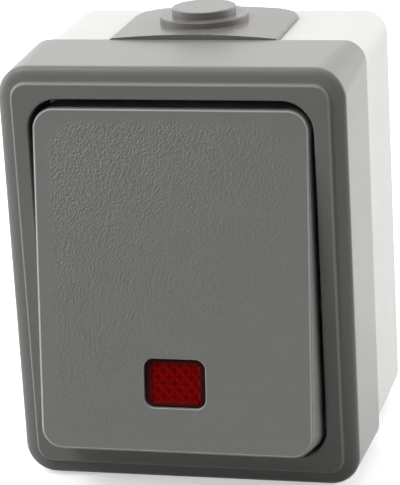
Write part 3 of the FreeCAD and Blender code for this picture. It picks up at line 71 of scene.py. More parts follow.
# Cover: skirt, sloping shoulder, raised panel, and the well that the rocker tilts in
COVER_CORNER = 5.8 * MM
COVER_REAR_CORNER = 4.2 * MM
COVER_WALL = 1.6 * MM
COVER_FRONT = 1.8 * MM
SHOULDER_SIDE = 2.75 * MM
SHOULDER_END = 2.85 * MM
SHOULDER_FALL = 1.5 * MM
SHOULDER_STEPS = 12
PANEL_CORNER = 3.0 * MM
PANEL_STEP = 0.8 * MM
PANEL_LIP = 0.55 * MM
PANEL_FOOT = 0.2 * MM
BORDER_SIDE = 3.1 * MM
BORDER_END = 3.05 * MM
OPENING_CORNER = 6.0 * MM
OPENING_EDGE = 0.3 * MM
WELL_WALL = 1.5 * MM
WELL_DROP = 13.3 * MM
WELL_FLOOR = 1.8 * MM
APERTURE = (40.0 * MM, 46.0 * MM, 2.0 * MM)
SCREW_INSET_SIDE = 3.65 * MM
SCREW_INSET_END = 3.8 * MM
SCREW_HOLE = 3.5 * MM
SCREW_RECESS = 6.2 * MM
RECESS_DROP = 1.0 * MM

# Rocker: its face stands before the axis, and its skirt goes back past it; a flare is for sides and ends
ROCKER_AXIS = Vector(frame["joints"][0]["pos_m"])
ROCKER_REST = math.radians(-8)
ROCKER_GAP_SIDE = 1.05 * MM
ROCKER_GAP_END = 2.6 * MM
ROCKER_CORNER = 4.1 * MM
ROCKER_FACE = 5.96 * MM
ROCKER_SKIRT = 11.0 * MM
ROCKER_PLATE = 2.2 * MM
ROCKER_WALL = 1.6 * MM
ROCKER_BEVEL = 0.35 * MM
ROCKER_CREASE = 0.12 * MM
ROCKER_CREASE_STEPS = 3
ROCKER_EDGE = 0.2 * MM
FACE_DEPTH = -ROCKER_AXIS.y + ROCKER_FACE
FACE_FLARE = (0.25 * MM, 0.4 * MM)
REAR_FLARE = (0.25 * MM, 1.4 * MM)
RIB_X = 18.0 * MM
RIB_HEIGHT = 4.0 * MM
RIB_THICKNESS = 1.4 * MM
LEG_X = 7.5 * MM
LEG_Z = 8.575 * MM
LEG_LENGTH = 3.6 * MM
LEG_WIDTH = 3.0 * MM
LEG_THICKNESS = 1.6 * MM

# Window of the rocker, and the lens in it with its field of diamond prisms
WINDOW_WIDTH = 11.8 * MM
WINDOW_HEIGHT = 9.35 * MM
WINDOW_CORNER = 1.9 * MM
WINDOW_EDGE = 0.25 * MM
WINDOW_DROP = 19.2 * MM
LENS_GAP = 0.08 * MM
LENS_RECESS = 0.7 * MM
LENS_FLANGE = 1.1 * MM
LENS_EDGE = 0.2 * MM
LENS_RIM_FADE = 0.9 * MM
PRISM_CELLS = 15
PRISM_WIDTH = 2.18 * MM
PRISM_HEIGHT = 2.48 * MM
PRISM_DEPTH = 0.2 * MM
PRISM_SINK = 0.06 * MM
PRISM_FIELD = (WINDOW_WIDTH - 2.5 * MM, WINDOW_HEIGHT - 1.8 * MM)
PRISM_CORNER = 0.8 * MM
PRISM_ANGLE = math.radians(15)
STAMP_BACK = 1.0 * MM

# Grain of the rocker's face. Real spark-eroded grain is about 0.1 mm wide, too fine to show, so it is drawn
# coarser. Its reach is in cells, and the span over which it wears off is in heights of the field. Grain and
# painted highlight lines end within the skin of the face.
GRAIN_FIELD = (46.8 * MM, 60.4 * MM)
GRAIN_CORNER = 6.0 * MM
GRAIN_FADE = 2.0 * MM
GRAIN_SIZE = 0.42 * MM
GRAIN_DEPTH = 0.15 * MM
GRAIN_REACH = 0.7
GRAIN_WORN = 0.25
GRAIN_WORN_SPAN = (-0.5, 0.6)
FACE_SKIN = (0.15 * MM, 0.05 * MM)

# Drift of colour and sheen, fine texture (width and depth for satin plastic), and highlights painted as pale lines
# along edges
MOTTLE_SIZE = 7.0 * MM
MOTTLE_DETAIL = 2.0
MOTTLE_SPAN = (0.3, 0.7)
MOTTLE_TINT = 0.015
MOTTLE_SHEEN = 0.012
TEXTURE_DETAIL = 3.0
SATIN_TEXTURE = (0.25 * MM, 0.004 * MM)
HIGHLIGHT_LINE_WIDTH = 0.45 * MM
WINDOW_HIGHLIGHT = 0.6
ANY_DEPTH = 1.0

# Shader inputs that hold all over a surface
PLASTIC = {}
METAL = {"Metallic": 1.0}
GLASS = {"Transmission Weight": 1.0, "IOR": 1.5}

# Lamps: name, place, size in metres, power in watts
LAMPS = (
    ("key", (-0.47, -0.43, 0.73), (0.45, 0.45), 3.6),
    ("overhead_box", (-0.05, 0.05, 1.0), (0.5, 1.2), 3.4),
    ("right_panel", (0.62, 0.42, 0.1), (0.7, 0.8), 4.7),
    ("left_panel", (-0.78, -0.15, 0.1), (0.6, 0.6), 3.0),
    ("right_fill", (0.5, -0.5, 0.1), (0.4, 0.4), 0.25),
)
LAMP_AIM = Vector((0, -0.03, 0))

# Room: strength in front and behind, and the directions between which it changes
ROOM_FRONT = 0.04
ROOM_BACK = 1.4
ROOM_TURN = (-0.3, 0.3)
ROOM_CEILING = (0.75, 0.45)
PAPER_SIZE = 6.0
PAPER_GAP = 0.5 * MM
PAPER_GLOW = 0.5

# Camera: the focal length is in picture heights, the sensor in millimetres
CAMERA_PLACE = Vector((0.11806, -0.481485, 0.150009))
CAMERA_AIM = Vector((-0.007524, -0.004564, -0.007804))
CAMERA_ROLL = math.radians(-3.283)
CAMERA_FOCAL = 2517.27 / 485
CAMERA_SENSOR = 24.0


def cover_sizes():
    """Width and height of the cover, and the depths of its rim and its panel."""
    low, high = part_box("front_cover")
    width, height = high.x - low.x, high.z - low.z
    return width, height, -high.y, -low.y


def rocker_ring(depth, flare, inset=0.0):
    """Outline of the rocker at a depth, widened by a flare; an inset goes in from it to the hollow."""
    width, height = cover_sizes()[:2]
    side = SHOULDER_SIDE + BORDER_SIDE + ROCKER_GAP_SIDE - flare[0] + inset
    end = SHOULDER_END + BORDER_END + ROCKER_GAP_END - flare[1] + inset
    return width - 2 * side, height - 2 * end, ROCKER_CORNER - inset, depth


def linear(code):
    """Linear RGBA of an sRGB hex colour."""
    channels = [int(code[k:k + 2], 16) / 255 for k in (0, 2, 4)]
    return [c / 12.92 if c <= 0.04045 else ((c + 0.055) / 1.055) ** 2.4 for c in channels] + [1.0]


def add_node(tree, kind, inputs=None, **settings):
    """Add a node, set its properties, and give its sockets constants, or links from a node or an output."""
    made = tree.nodes.new("ShaderNode" + kind)
    for name, setting in settings.items():
        setattr(made, name, setting)
    for socket, source in (inputs or {}).items():
        if isinstance(source, bpy.types.Node):
            source = next(output for output in source.outputs if output.enabled)
        if isinstance(source, bpy.types.NodeSocket):
            tree.links.new(source, made.inputs[socket])
        else:
            made.inputs[socket].default_value = source
    return made


def new_material(name):
    """An empty material and its node tree."""
    material = bpy.data.materials.new(name)
    material.use_nodes = True
    material.node_tree.nodes.clear()
    return material, material.node_tree


def put_shader(tree, inputs):
    """Give the material one Principled shader with these inputs."""
    shader = add_node(tree, "BsdfPrincipled", inputs)
    add_node(tree, "OutputMaterial", {"Surface": shader})


def fine_bump(tree, size, depth):
    """Even texture of that width and depth over the whole surface."""
    place = add_node(tree, "TexCoord").outputs["Object"]
    noise = add_node(tree, "TexNoise", {"Vector": place, "Scale": 1 / size, "Detail": TEXTURE_DETAIL})
    return add_node(tree, "Bump", {"Height": noise, "Distance": depth})


def mottle(tree, colour, roughness):
    """Shader inputs for a colour and a sheen that drift a little over some millimetres."""
    place = add_node(tree, "TexCoord").outputs["Object"]
    clouds = add_node(
        tree, "TexNoise", {"Vector": place, "Scale": 1 / MOTTLE_SIZE, "Detail": MOTTLE_DETAIL}
    )
    start, end = MOTTLE_SPAN
    spread = add_node(tree, "MapRange", {"Value": clouds, "From Min": start, "From Max": end})
    dark, light = (
        [channel * (1 + change) for channel in linear(colour)] for change in (-MOTTLE_TINT, MOTTLE_TINT)
    )
    tint = add_node(tree, "Mix", {"Factor": spread, "A": dark, "B": light}, data_type="RGBA")
    sheen = {"Value": spread, "To Min": roughness - MOTTLE_SHEEN, "To Max": roughness + MOTTLE_SHEEN}
    return {"Base Color": tint, "Roughness": add_node(tree, "MapRange", sheen)}


def textured(name, kind, colour, roughness, size, depth):
    """A surface of one kind of stuff with an even fine texture and a slight drift."""
    material, tree = new_material(name)
    put_shader(tree, {**kind, **mottle(tree, colour, roughness), "Normal": fine_bump(tree, size, depth)})
    return material


def rocker_place(tree):
    """Place on the rocker, measured from its axis with the tilt taken off."""
    shift = Matrix.Rotation(-ROCKER_REST, 3, "X") @ -ROCKER_AXIS
    place = add_node(tree, "TexCoord").outputs["Object"]
    turn = {"Vector": place, "Location": shift, "Rotation": (-ROCKER_REST, 0, 0)}
    return add_node(tree, "Mapping", turn)


def window_place(tree):
    """Place on the rocker, measured from the middle of its window."""
    return add_node(tree, "VectorMath", {0: rocker_place(tree), 1: (0, 0, WINDOW_DROP)})


def inside_rounded(tree, place, width, height, corner, soft):
    """1 within a rounded rectangle seen from the front, falling to 0 over a soft edge."""
    straight = (width / 2 - corner, ANY_DEPTH, height / 2 - corner)
    folded = add_node(tree, "VectorMath", {0: place}, operation="ABSOLUTE")
    past = add_node(tree, "VectorMath", {0: folded, 1: straight}, operation="SUBTRACT")
    past = add_node(tree, "VectorMath", {0: past, 1: (0, 0, 0)}, operation="MAXIMUM")
    reach = add_node(tree, "VectorMath", {0: past}, operation="LENGTH")
    fade = {"Value": reach, "From Min": corner + soft / 2, "From Max": corner - soft / 2}
    return add_node(tree, "MapRange", fade)


def painted_highlight_line(tree, place, outline, line, strength):
    """Strength of a painted highlight along the edge of a rounded rectangle, falling to 0 on both sides of it."""
    inside = inside_rounded(tree, place, *outline, line)
    # Inside times outside is a quarter on the edge itself, so four times that is the full strength
    outside = add_node(tree, "MapRange", {"Value": inside, "To Min": 4.0 * strength, "To Max": 0.0})
    return add_node(tree, "Math", {0: inside, 1: outside}, operation="MULTIPLY")


def satin_cover_plastic():
    """Cover: ABS from a satin tool, a mid grey with soft lights, and a highlight painted as a pale line along its
    panel's lip.
    """
    material, tree = new_material("cover_plastic_grey_satin")
    finish = mottle(tree, "959491", 0.3)
    width, height = cover_sizes()[:2]
    outline = (
        width - 2 * SHOULDER_SIDE - PANEL_LIP,
        height - 2 * SHOULDER_END - PANEL_LIP,
        PANEL_CORNER - PANEL_LIP / 2,
    )
    place = add_node(tree, "TexCoord").outputs["Object"]
    # Painted highlight: a pale line along the panel's lip, in place of the light its rounding catches
    lip_highlight = painted_highlight_line(tree, place, outline, HIGHLIGHT_LINE_WIDTH, 1.0)
    painted_highlight = {"Factor": lip_highlight, "A": finish["Base Color"], "B": linear("b8b7b4")}
    finish["Base Color"] = add_node(tree, "Mix", painted_highlight, data_type="RGBA")
    finish["Normal"] = fine_bump(tree, *SATIN_TEXTURE)
    put_shader(tree, {**finish, "Specular IOR Level": 0.3})
    return material


def rocker_highlight_lines(tree, place):
    """Strength of the painted highlights: pale lines along the edge of the rocker's face and round its window."""
    outline = rocker_ring(ROCKER_FACE, FACE_FLARE, ROCKER_BEVEL)[:3]
    edge = painted_highlight_line(tree, place, outline, HIGHLIGHT_LINE_WIDTH, 1.0)
    window = (WINDOW_WIDTH + WINDOW_EDGE, WINDOW_HEIGHT + WINDOW_EDGE, WINDOW_CORNER + WINDOW_EDGE / 2)
    window_line = painted_highlight_line(tree, window_place(tree), window, WINDOW_EDGE, WINDOW_HIGHLIGHT)
    return add_node(tree, "Math", {0: edge, 1: window_line}, operation="MAXIMUM")


def rocker_grain(tree, place, spot, face):
    """Height of the grain on the rocker's face: full at the upper left, worn at the lower right."""
    width, height = GRAIN_FIELD
    field = inside_rounded(tree, place, width, height, GRAIN_CORNER, GRAIN_FADE)
    aslant = add_node(tree, "Math", {0: spot.outputs["Z"], 1: spot.outputs["X"]}, operation="SUBTRACT")
    low, high = (part * height for part in GRAIN_WORN_SPAN)
    wear = {"Value": aslant, "From Min": low, "From Max": high, "To Min": GRAIN_WORN, "To Max": 1.0}
    worn = add_node(tree, "MapRange", wear)
    cells = add_node(tree, "TexVoronoi", {"Vector": place, "Scale": 1 / GRAIN_SIZE})
    grains = add_node(tree, "MapRange", {"Value": cells, "From Min": GRAIN_REACH, "From Max": 0.0})
    relief = field
    for share in (face, worn, grains):
        relief = add_node(tree, "Math", {0: relief, 1: share}, operation="MULTIPLY")
    return relief


def spark_eroded_plastic():
    """Rocker: ABS from a spark-eroded tool, leathery grain that glitters in a smooth margin, and highlights
    painted as pale lines along its edges.
    """
    material, tree = new_material("rocker_plastic_spark_eroded")
    finish = mottle(tree, "a0a19e", 0.38)
    place = rocker_place(tree)
    spot = add_node(tree, "SeparateXYZ", {"Vector": place})
    under, upper = (skin - ROCKER_FACE for skin in FACE_SKIN)
    face = add_node(tree, "MapRange", {"Value": spot.outputs["Y"], "From Min": under, "From Max": upper})
    # Painted highlight: pale lines where the face's edge and the window's rim catch the light
    lines = add_node(tree, "Math", {0: rocker_highlight_lines(tree, place), 1: face}, operation="MULTIPLY")
    painted_highlight = {"Factor": lines, "A": finish["Base Color"], "B": linear("f2f2f0")}
    finish["Base Color"] = add_node(tree, "Mix", painted_highlight, data_type="RGBA")
    relief = rocker_grain(tree, place, spot, face)
    finish["Normal"] = add_node(tree, "Bump", {"Height": relief, "Distance": GRAIN_DEPTH})
    put_shader(tree, finish)
    return material


def red_lens_plastic():
    """Lens: clear red acrylic, its own red on the ridges of its prisms, with shade painted dark into their points
    and at its rim.
    """
    material, tree = new_material("lens_plastic_clear_red")
    depth = add_node(tree, "SeparateXYZ", {"Vector": rocker_place(tree)}).outputs["Y"]
    ridge = PRISM_SINK + LENS_RECESS - ROCKER_FACE
    # Painted shade: the red darkens towards the sunk points of the prisms
    prism_shade = add_node(tree, "MapRange", {"Value": depth, "From Min": ridge, "From Max": ridge + PRISM_DEPTH})
    reds = {"Factor": prism_shade, "A": linear("b00003"), "B": linear("780001")}
    prisms = add_node(tree, "Mix", reds, data_type="RGBA")
    # Painted shade: a dark rim round the field of prisms
    field = inside_rounded(tree, window_place(tree), *PRISM_FIELD, PRISM_CORNER, LENS_RIM_FADE)
    rim_shade = {"Factor": field, "A": linear("42070a"), "B": prisms}
    colour = add_node(tree, "Mix", rim_shade, data_type="RGBA")
    put_shader(tree, {"Base Color": colour, "Roughness": 0.25, "Specular IOR Level": 0.06})
    return material


# Finish of each slot: name, kind, colour, roughness, width and depth of its texture. The real textures from
# moulding, drawing, milling and plating are too fine to show, so they are drawn as coarse as they need to.
MATERIALS = {
    # ABS from a satin tool: even white whose lights blur softly
    "white_plastic": textured("base_plastic_white_satin", PLASTIC, "ebeae7", 0.45, *SATIN_TEXTURE),
    "grey_plastic": satin_cover_plastic(),
    "grained_plastic": spark_eroded_plastic(),
    "red_plastic": red_lens_plastic(),
    # Soft moulded rubber: mid grey with a broad, mild sheen
    "soft_grey": textured("entry_rubber_grey_satin", PLASTIC, "82807d", 0.28, 0.3 * MM, 0.01 * MM),
    # Closed-cell foam: dull black with a porous skin
    "black_seal": textured("seal_foam_black", PLASTIC, "1a1a1a", 0.85, 0.4 * MM, 0.03 * MM),
    # Pressed thermoset: warm ivory, faintly cloudy and half matt
    "insulator": textured("insert_thermoset_ivory", PLASTIC, "dad6c8", 0.5, 0.3 * MM, 0.006 * MM),
    # Natural polyamide: milky off-white with a waxy sheen
    "cradle_plastic": textured("cradle_polyamide_natural", PLASTIC, "d2d1ca", 0.5, 0.3 * MM, 0.005 * MM),
    # Zinc-plated steel: cool bright grey, a little uneven from tumbling
    "zinc_steel": textured("steel_zinc_plated", METAL, "b9bcbf", 0.32, 0.2 * MM, 0.003 * MM),
    # Drawn spring wire: darker steel with a silky gloss
    "spring_steel": textured("spring_wire_drawn", METAL, "8f9296", 0.3, 0.2 * MM, 0.003 * MM),
    # Milled brass: warm yellow whose lights break up on fine tool marks
    "terminal_brass": textured("terminal_brass_milled", METAL, "c9a659", 0.3, 0.2 * MM, 0.003 * MM),
    # Silver contact tip: nearly white metal with a soft mirror
    "contact_silver": textured("contact_silver_tip", METAL, "dcdcda", 0.25, 0.2 * MM, 0.002 * MM),
    # Drawn glass: clear and faintly warm, with slow waves
    "lamp_glass": textured("lamp_glass_drawn", GLASS, "f3ece4", 0.03, 0.8 * MM, 0.01 * MM),
    # Tinned copper wire: pale grey metal with a soft sheen
    "tinned_wire": textured("lead_wire_tinned", METAL, "c3c4c4", 0.35, 0.2 * MM, 0.003 * MM),
}


def select_places(piece, wanted):
    """Select the vertices of the mesh in edit mode that lie where wanted says."""
    bpy.ops.mesh.select_mode(type="VERT")
    bpy.ops.mesh.select_all(action="DESELECT")
    mesh = bmesh.from_edit_mesh(piece.data)
    for vert in mesh.verts:
        vert.select_set(wanted(vert.co))
    bmesh.update_edit_mesh(piece.data)


def add_ring(width, height, corner, depth, rise=0.0):
    """Add a rounded rectangle that faces the front to the mesh in edit mode, as a loop of edges."""
    piece = bpy.context.object
    middle = Vector((0, -depth, rise))
    bpy.ops.mesh.select_all(action="DESELECT")
    bpy.ops.mesh.primitive_grid_add(
        x_subdivisions=2, y_subdivisions=2, size=1, location=middle, rotation=TO_FRONT
    )
    bpy.ops.transform.resize(value=(width, 1, height), center_override=middle)
    corners = [middle + Vector((x * width / 2, 0, z * height / 2)) for x in (1, -1) for z in (1, -1)]
    select_places(piece, lambda place: any((place - spot).length < NEAR for spot in corners))
    bpy.ops.mesh.bevel(offset=corner, segments=CORNER_STEPS, affect="VERTICES", clamp_overlap=False)
    select_places(piece, lambda place: (place - middle).length < NEAR)
    bpy.ops.mesh.delete(type="VERT")


def on_ring(place, width, height, corner, depth, rise=0.0):
    """Whether a place lies on a rounded rectangle."""
    across = abs(place.x) - width / 2 + corner
    upright = abs(place.z - rise) - height / 2 + corner
    beyond = math.hypot(max(across, 0), max(upright, 0)) + min(max(across, upright), 0) - corner
    return abs(place.y + depth) < NEAR and abs(beyond) < NEAR


def select_rings(piece, *rings, quarter=None):
    """Select the edges along rings: all of them, or one quarter by the signs of X and Z from the middle."""
    bpy.ops.mesh.select_mode(type="EDGE")
    bpy.ops.mesh.select_all(action="DESELECT")
    mesh = bmesh.from_edit_mesh(piece.data)
    for edge in mesh.edges:
        start, end = (vert.co for vert in edge.verts)
        for ring in rings:
            if on_ring(start, *ring) and on_ring(end, *ring):
                rise = sum(ring[4:])
                across, upright = start.x + end.x, start.z + end.z - 2 * rise
                edge.select_set(not quarter or across * quarter[0] > 0 and upright * quarter[1] > 0)
    bmesh.update_edit_mesh(piece.data)


def bridge_rings(piece, first, second):
    """Join two rings a quarter at a time, so that corner meets corner."""
    for quarter in ((1, 1), (1, -1), (-1, 1), (-1, -1)):
        select_rings(piece, first, second, quarter=quarter)
        bpy.ops.mesh.bridge_edge_loops()


def loft(name, rings, around=False):
    """A skin through rings in order; around joins the last to the first, or else both are filled."""
    bpy.ops.object.select_all(action="DESELECT")
    bpy.ops.object.add(type="MESH", enter_editmode=True)
    piece = bpy.context.object
    piece.name = name
    piece.data.name = name
    for ring in rings:
        add_ring(*ring)
    for first, second in zip(rings, rings[1:] + rings[:1] if around else rings[1:]):
        bridge_rings(piece, first, second)
    if not around:
        for end in (rings[0], rings[-1]):
            select_rings(piece, end)
            bpy.ops.mesh.edge_face_add()
    return piece


def round_rings(piece, *roundings):
    """Round the edges along some of the rings, given with radius and steps, and leave edit mode."""
    for ring, radius, steps in roundings:
        select_rings(piece, ring)
        bpy.ops.mesh.bevel(offset=radius, segments=steps, affect="EDGES", clamp_overlap=False)
    bpy.ops.object.mode_set(mode="OBJECT")


def apply_boolean(piece, tool, operation):
    """Cut or join another object's shape, which is used up."""
    change = piece.modifiers.new("shape", "BOOLEAN")
    change.operation = operation
    change.object = tool
    bpy.ops.object.select_all(action="DESELECT")
    bpy.context.view_layer.objects.active = piece
    piece.select_set(True)
    bpy.ops.object.modifier_apply(modifier=change.name)
    bpy.data.objects.remove(tool)


def complete(piece, node, body, angle=SMOOTH_ANGLE):
    """Turn the faces outwards, shade the piece, and let it stand for its node."""
    bpy.ops.object.mode_set(mode="EDIT")
    bpy.ops.mesh.select_all(action="SELECT")
    bpy.ops.mesh.normals_make_consistent(inside=False)
    bpy.ops.object.mode_set(mode="OBJECT")
    bpy.ops.object.shade_smooth_by_angle(angle=angle)
    weighting = piece.modifiers.new("weighting", "WEIGHTED_NORMAL")
    weighting.keep_sharp = True
    bpy.ops.object.modifier_apply(modifier=weighting.name)
    slot = [part["material_slot"] for part in frame["record"]["subparts"] if part["node"] == node][0]
    piece.data.materials.append(MATERIALS[slot])
    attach(piece, body)
    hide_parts(node)


def shoulder_curve(width, height, depth):
    """Rings along a quarter of an ellipse, from the side of the cover towards the foot of its panel."""
    rings = []
    for step in range(SHOULDER_STEPS):
        angle = math.pi / 2 * step / SHOULDER_STEPS
        inward, fall = 1 - math.cos(angle), 1 - math.sin(angle)
        corner = COVER_CORNER + (PANEL_CORNER - COVER_CORNER) * inward
        across, upright = width - 2 * SHOULDER_SIDE * inward, height - 2 * SHOULDER_END * inward
        rings.append((across, upright, corner, depth - SHOULDER_FALL * fall))
    return rings


def drill(across, upright, diameter, rear, front):
    """Round tool along the depth, for a hole between two depths."""
    bpy.ops.object.select_all(action="DESELECT")
    bpy.ops.mesh.primitive_cylinder_add(
        vertices=4 * CORNER_STEPS,
        radius=diameter / 2,
        depth=front - rear,
        location=(across, -(front + rear) / 2, upright),
        rotation=TO_FRONT,
    )
    bpy.ops.object.transform_apply(location=True, rotation=True, scale=True)
    return bpy.context.object


def drill_screw_holes(piece, opening, floor):
    """Drill a stepped hole in each corner of the well's floor."""
    steps = ((SCREW_HOLE, floor - 2 * WELL_FLOOR), (SCREW_RECESS, floor - RECESS_DROP))
    for side in (1, -1):
        for end in (1, -1):
            across = side * (opening[0] / 2 - SCREW_INSET_SIDE)
            upright = end * (opening[1] / 2 - SCREW_INSET_END)
            for diameter, rear in steps:
                tool = drill(across, upright, diameter, rear, floor + WELL_FLOOR)
                apply_boolean(piece, tool, "DIFFERENCE")


def build_cover():
    """Hood with a stepped panel, a floored well and the hollow between well and skirt."""
    width, height, rim, front = cover_sizes()
    panel = (width - 2 * SHOULDER_SIDE, height - 2 * SHOULDER_END, PANEL_CORNER)
    opening = (panel[0] - 2 * BORDER_SIDE, panel[1] - 2 * BORDER_END, OPENING_CORNER)
    inside = (width - 2 * COVER_WALL, height - 2 * COVER_WALL)
    outer_well = (opening[0] + 2 * WELL_WALL, opening[1] + 2 * WELL_WALL, OPENING_CORNER + WELL_WALL)
    shoulder, floor = front - PANEL_STEP, front - WELL_DROP
    panel_foot, panel_lip = (*panel, shoulder), (*panel, front)
    opening_edge = (*opening, front)
    piece = loft(
        "cover",
        (
            (width, height, COVER_REAR_CORNER, rim),
            *shoulder_curve(width, height, shoulder),
            panel_foot,
            panel_lip,
            opening_edge,
            (*opening, floor),
            (*APERTURE, floor),
            (*APERTURE, floor - WELL_FLOOR),
            (*outer_well, floor - WELL_FLOOR),
            (*outer_well, shoulder - COVER_FRONT),
            (*inside, COVER_CORNER - COVER_WALL, shoulder - COVER_FRONT),
            (*inside, COVER_REAR_CORNER - COVER_WALL, rim),
        ),
        around=True,
    )
    round_rings(
        piece,
        (panel_foot, PANEL_FOOT, EDGE_STEPS),
        (panel_lip, PANEL_LIP, EDGE_STEPS),
        (opening_edge, OPENING_EDGE, EDGE_STEPS),
    )
    drill_screw_holes(piece, opening, floor)
    complete(piece, "front_cover", "housing")


def tilt_with_rocker(piece):
    """Turn a piece from the middle of the rocker's travel to its rest angle."""
    turn = Matrix.Rotation(ROCKER_REST, 4, "X")
    piece.data.transform(Matrix.Translation(ROCKER_AXIS) @ turn @ Matrix.Translation(-ROCKER_AXIS))


def block(across, upright, depth, size):
    """Block that stands on the rear of the rocker's plate and goes half way into it."""
    root = ROCKER_PLATE / 2
    bpy.ops.object.select_all(action="DESELECT")
    bpy.ops.mesh.primitive_cube_add(
        size=1,
        location=(across, (size[1] - root) / 2 - depth, upright),
        scale=(size[0], size[1] + root, size[2]),
    )
    bpy.ops.object.transform_apply(location=True, rotation=True, scale=True)
    return bpy.context.object


def add_ribs_and_legs(piece, plate, rib_length):
    """Join a long rib and two clip legs to the rear of the rocker's plate on each side."""
    for side in (1, -1):
        rib = block(side * RIB_X, 0, plate, (RIB_THICKNESS, RIB_HEIGHT, rib_length))
        apply_boolean(piece, rib, "UNION")
        for end in (1, -1):
            leg = block(side * LEG_X, end * LEG_Z, plate, (LEG_WIDTH, LEG_LENGTH, LEG_THICKNESS))
            apply_boolean(piece, leg, "UNION")


def build_rocker():
    """Large key: face with the window, flared walls round an open back, ribs and clip legs."""
    window = (WINDOW_WIDTH, WINDOW_HEIGHT, WINDOW_CORNER)
    plate = FACE_DEPTH - ROCKER_PLATE
    rear = FACE_DEPTH - ROCKER_SKIRT
    face_edge = rocker_ring(FACE_DEPTH, FACE_FLARE, ROCKER_BEVEL)
    wall_edge = rocker_ring(FACE_DEPTH - ROCKER_BEVEL, FACE_FLARE)
    window_edge = (*window, FACE_DEPTH, -WINDOW_DROP)
    piece = loft(
        "rocker_key",
        (
            rocker_ring(rear, REAR_FLARE),
            wall_edge,
            face_edge,
            window_edge,
            (*window, plate, -WINDOW_DROP),
            rocker_ring(plate, FACE_FLARE, ROCKER_WALL),
            rocker_ring(rear, REAR_FLARE, ROCKER_WALL),
        ),
        around=True,
    )
    round_rings(
        piece,
        (face_edge, ROCKER_CREASE, ROCKER_CREASE_STEPS),
        (wall_edge, ROCKER_EDGE, EDGE_STEPS),
        (window_edge, WINDOW_EDGE, EDGE_STEPS),
    )
    add_ribs_and_legs(piece, plate, wall_edge[1] - ROCKER_WALL)
    tilt_with_rocker(piece)
    complete(piece, "rocker", "rocker")


def prism_stamp(front):
    """Slab with diamond pyramids that press the prisms into the lens."""
    middle = Vector((0, PRISM_SINK - front, -WINDOW_DROP))
    bpy.ops.object.select_all(action="DESELECT")
    bpy.ops.mesh.primitive_grid_add(
        x_subdivisions=PRISM_CELLS,
        y_subdivisions=PRISM_CELLS,
        size=PRISM_CELLS / math.sqrt(2),
        location=middle,
        rotation=TO_FRONT,
        enter_editmode=True,
    )
    stamp = bpy.context.object
    stamp.name = "prism_stamp"
    bpy.ops.mesh.select_all(action="SELECT")
    bpy.ops.transform.rotate(value=math.pi / 4, orient_axis="Y", center_override=middle)
    bpy.ops.transform.resize(value=(PRISM_WIDTH, 1, PRISM_HEIGHT), center_override=middle)
    for length, axis in zip(PRISM_FIELD, (Vector((1, 0, 0)), Vector((0, 0, 1)))):
        for side in (axis, -axis):
            bpy.ops.mesh.select_all(action="SELECT")
            bpy.ops.mesh.bisect(plane_co=middle + side * length / 2, plane_no=side, clear_outer=True)
    bpy.ops.mesh.select_all(action="SELECT")
    bpy.ops.mesh.poke(offset=-PRISM_DEPTH)
    bpy.ops.mesh.select_all(action="SELECT")
    bpy.ops.mesh.extrude_region_move(TRANSFORM_OT_translate={"value": (0, -STAMP_BACK, 0)})
    bpy.ops.mesh.select_all(action="SELECT")
    bpy.ops.mesh.normals_make_consistent(inside=False)
    bpy.ops.object.mode_set(mode="OBJECT")
    bpy.ops.object.transform_apply(location=True, rotation=True, scale=True)
    return stamp


def build_lens():
    """Red window on its flange, with a field of diamond prisms sunk into its front."""
    plate = FACE_DEPTH - ROCKER_PLATE
    front = FACE_DEPTH - LENS_RECESS
    flange, body = (
        (WINDOW_WIDTH + 2 * grow, WINDOW_HEIGHT + 2 * grow, WINDOW_CORNER + grow)
        for grow in (LENS_FLANGE, -LENS_GAP)
    )
    front_edge = (*body, front, -WINDOW_DROP)
    piece = loft(
        "lens_red",
        (
            (*flange, plate - LENS_FLANGE, -WINDOW_DROP),
            (*flange, plate, -WINDOW_DROP),
            (*body, plate, -WINDOW_DROP),
            front_edge,
        ),
    )
    round_rings(piece, (front_edge, LENS_EDGE, EDGE_STEPS))
    apply_boolean(piece, prism_stamp(front), "DIFFERENCE")
    tilt_with_rocker(piece)
    complete(piece, "lens", "rocker", angle=PRISM_ANGLE)


def area_lamp(name, place, size, power):
    """A soft rectangular lamp at a place, turned to the object."""
    data = bpy.data.lights.new(name, "AREA")
    data.shape = "RECTANGLE"
    data.size, data.size_y = size
    data.energy = power
    lamp = bpy.data.objects.new(name, data)
    bpy.context.scene.collection.objects.link(lamp)
    lamp.location = place
    lamp.rotation_euler = (LAMP_AIM - Vector(place)).to_track_quat("-Z", "Y").to_euler()


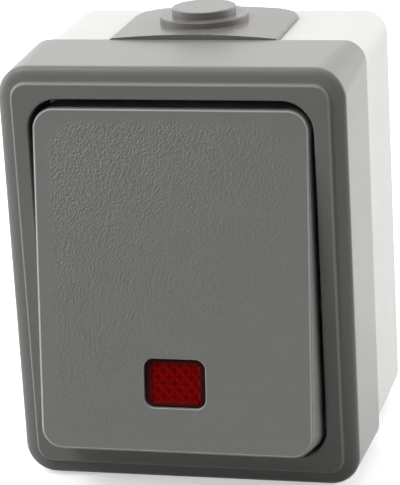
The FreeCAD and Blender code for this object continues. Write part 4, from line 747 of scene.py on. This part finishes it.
def build_room():
    """Room that is dim in front and overhead, and bright behind the object."""
    world = bpy.data.worlds.new("studio_room")
    bpy.context.scene.world = world
    world.use_nodes = True
    tree = world.node_tree
    tree.nodes.clear()
    direction = add_node(tree, "SeparateXYZ", {"Vector": add_node(tree, "TexCoord").outputs["Generated"]})
    behind, low = (
        add_node(tree, "MapRange", {"Value": direction.outputs[axis], "From Min": start, "From Max": end})
        for axis, (start, end) in (("Y", ROOM_TURN), ("Z", ROOM_CEILING))
    )
    bright = add_node(tree, "Math", {0: behind, 1: low}, operation="MULTIPLY")
    strength = add_node(tree, "MapRange", {"Value": bright, "To Min": ROOM_FRONT, "To Max": ROOM_BACK})
    background = add_node(tree, "Background", {"Color": linear("ffffff"), "Strength": strength})
    add_node(tree, "OutputWorld", {"Surface": background})


def build_camera():
    """Camera far before the object, above it and to its right, a little rolled."""
    data = bpy.data.cameras.new("camera")
    data.sensor_fit = "VERTICAL"
    data.sensor_height = CAMERA_SENSOR
    data.lens = CAMERA_FOCAL * CAMERA_SENSOR
    camera = bpy.data.objects.new("camera", data)
    bpy.context.scene.collection.objects.link(camera)
    camera.location = CAMERA_PLACE
    turn = (CAMERA_AIM - CAMERA_PLACE).to_track_quat("-Z", "Y").to_matrix().to_4x4()
    camera.rotation_euler = (turn @ Matrix.Rotation(CAMERA_ROLL, 4, "Z")).to_euler()
    bpy.context.scene.camera = camera


def floor_paper():
    """Floor: matt paper, plain white to the eye and in reflections, that sends little light up."""
    material, tree = new_material("floor_paper_white")
    sheet = add_node(tree, "BsdfPrincipled", {"Base Color": linear("ffffff"), "Roughness": 1.0})
    glow = add_node(tree, "Emission", {"Color": linear("ffffff"), "Strength": PAPER_GLOW})
    paper = add_node(tree, "AddShader", {0: sheet, 1: glow})
    shade = add_node(tree, "BsdfDiffuse", {"Color": linear("404040")})
    bounced = add_node(tree, "LightPath").outputs["Is Diffuse Ray"]
    seen = add_node(tree, "MixShader", {"Fac": bounced, 1: paper, 2: shade})
    add_node(tree, "OutputMaterial", {"Surface": seen})
    return material


def build_floor():
    """Wide sheet just under the object, which takes its shadow."""
    bpy.ops.object.select_all(action="DESELECT")
    bpy.ops.mesh.primitive_plane_add(size=PAPER_SIZE, location=(0, 0, first_bounds[0][2] - PAPER_GAP))
    floor = bpy.context.object
    floor.name = "floor"
    floor.data.materials.append(floor_paper())


build_cover()
build_rocker()
build_lens()

for part in frame["record"]["subparts"]:
    slots = frame["nodes"][part["node"]].data.materials
    slots.clear()
    slots.append(MATERIALS[part["material_slot"]])

for lamp in LAMPS:
    area_lamp(*lamp)
build_room()
build_camera()
build_floor()
bpy.context.scene.view_settings.view_transform = "Standard"
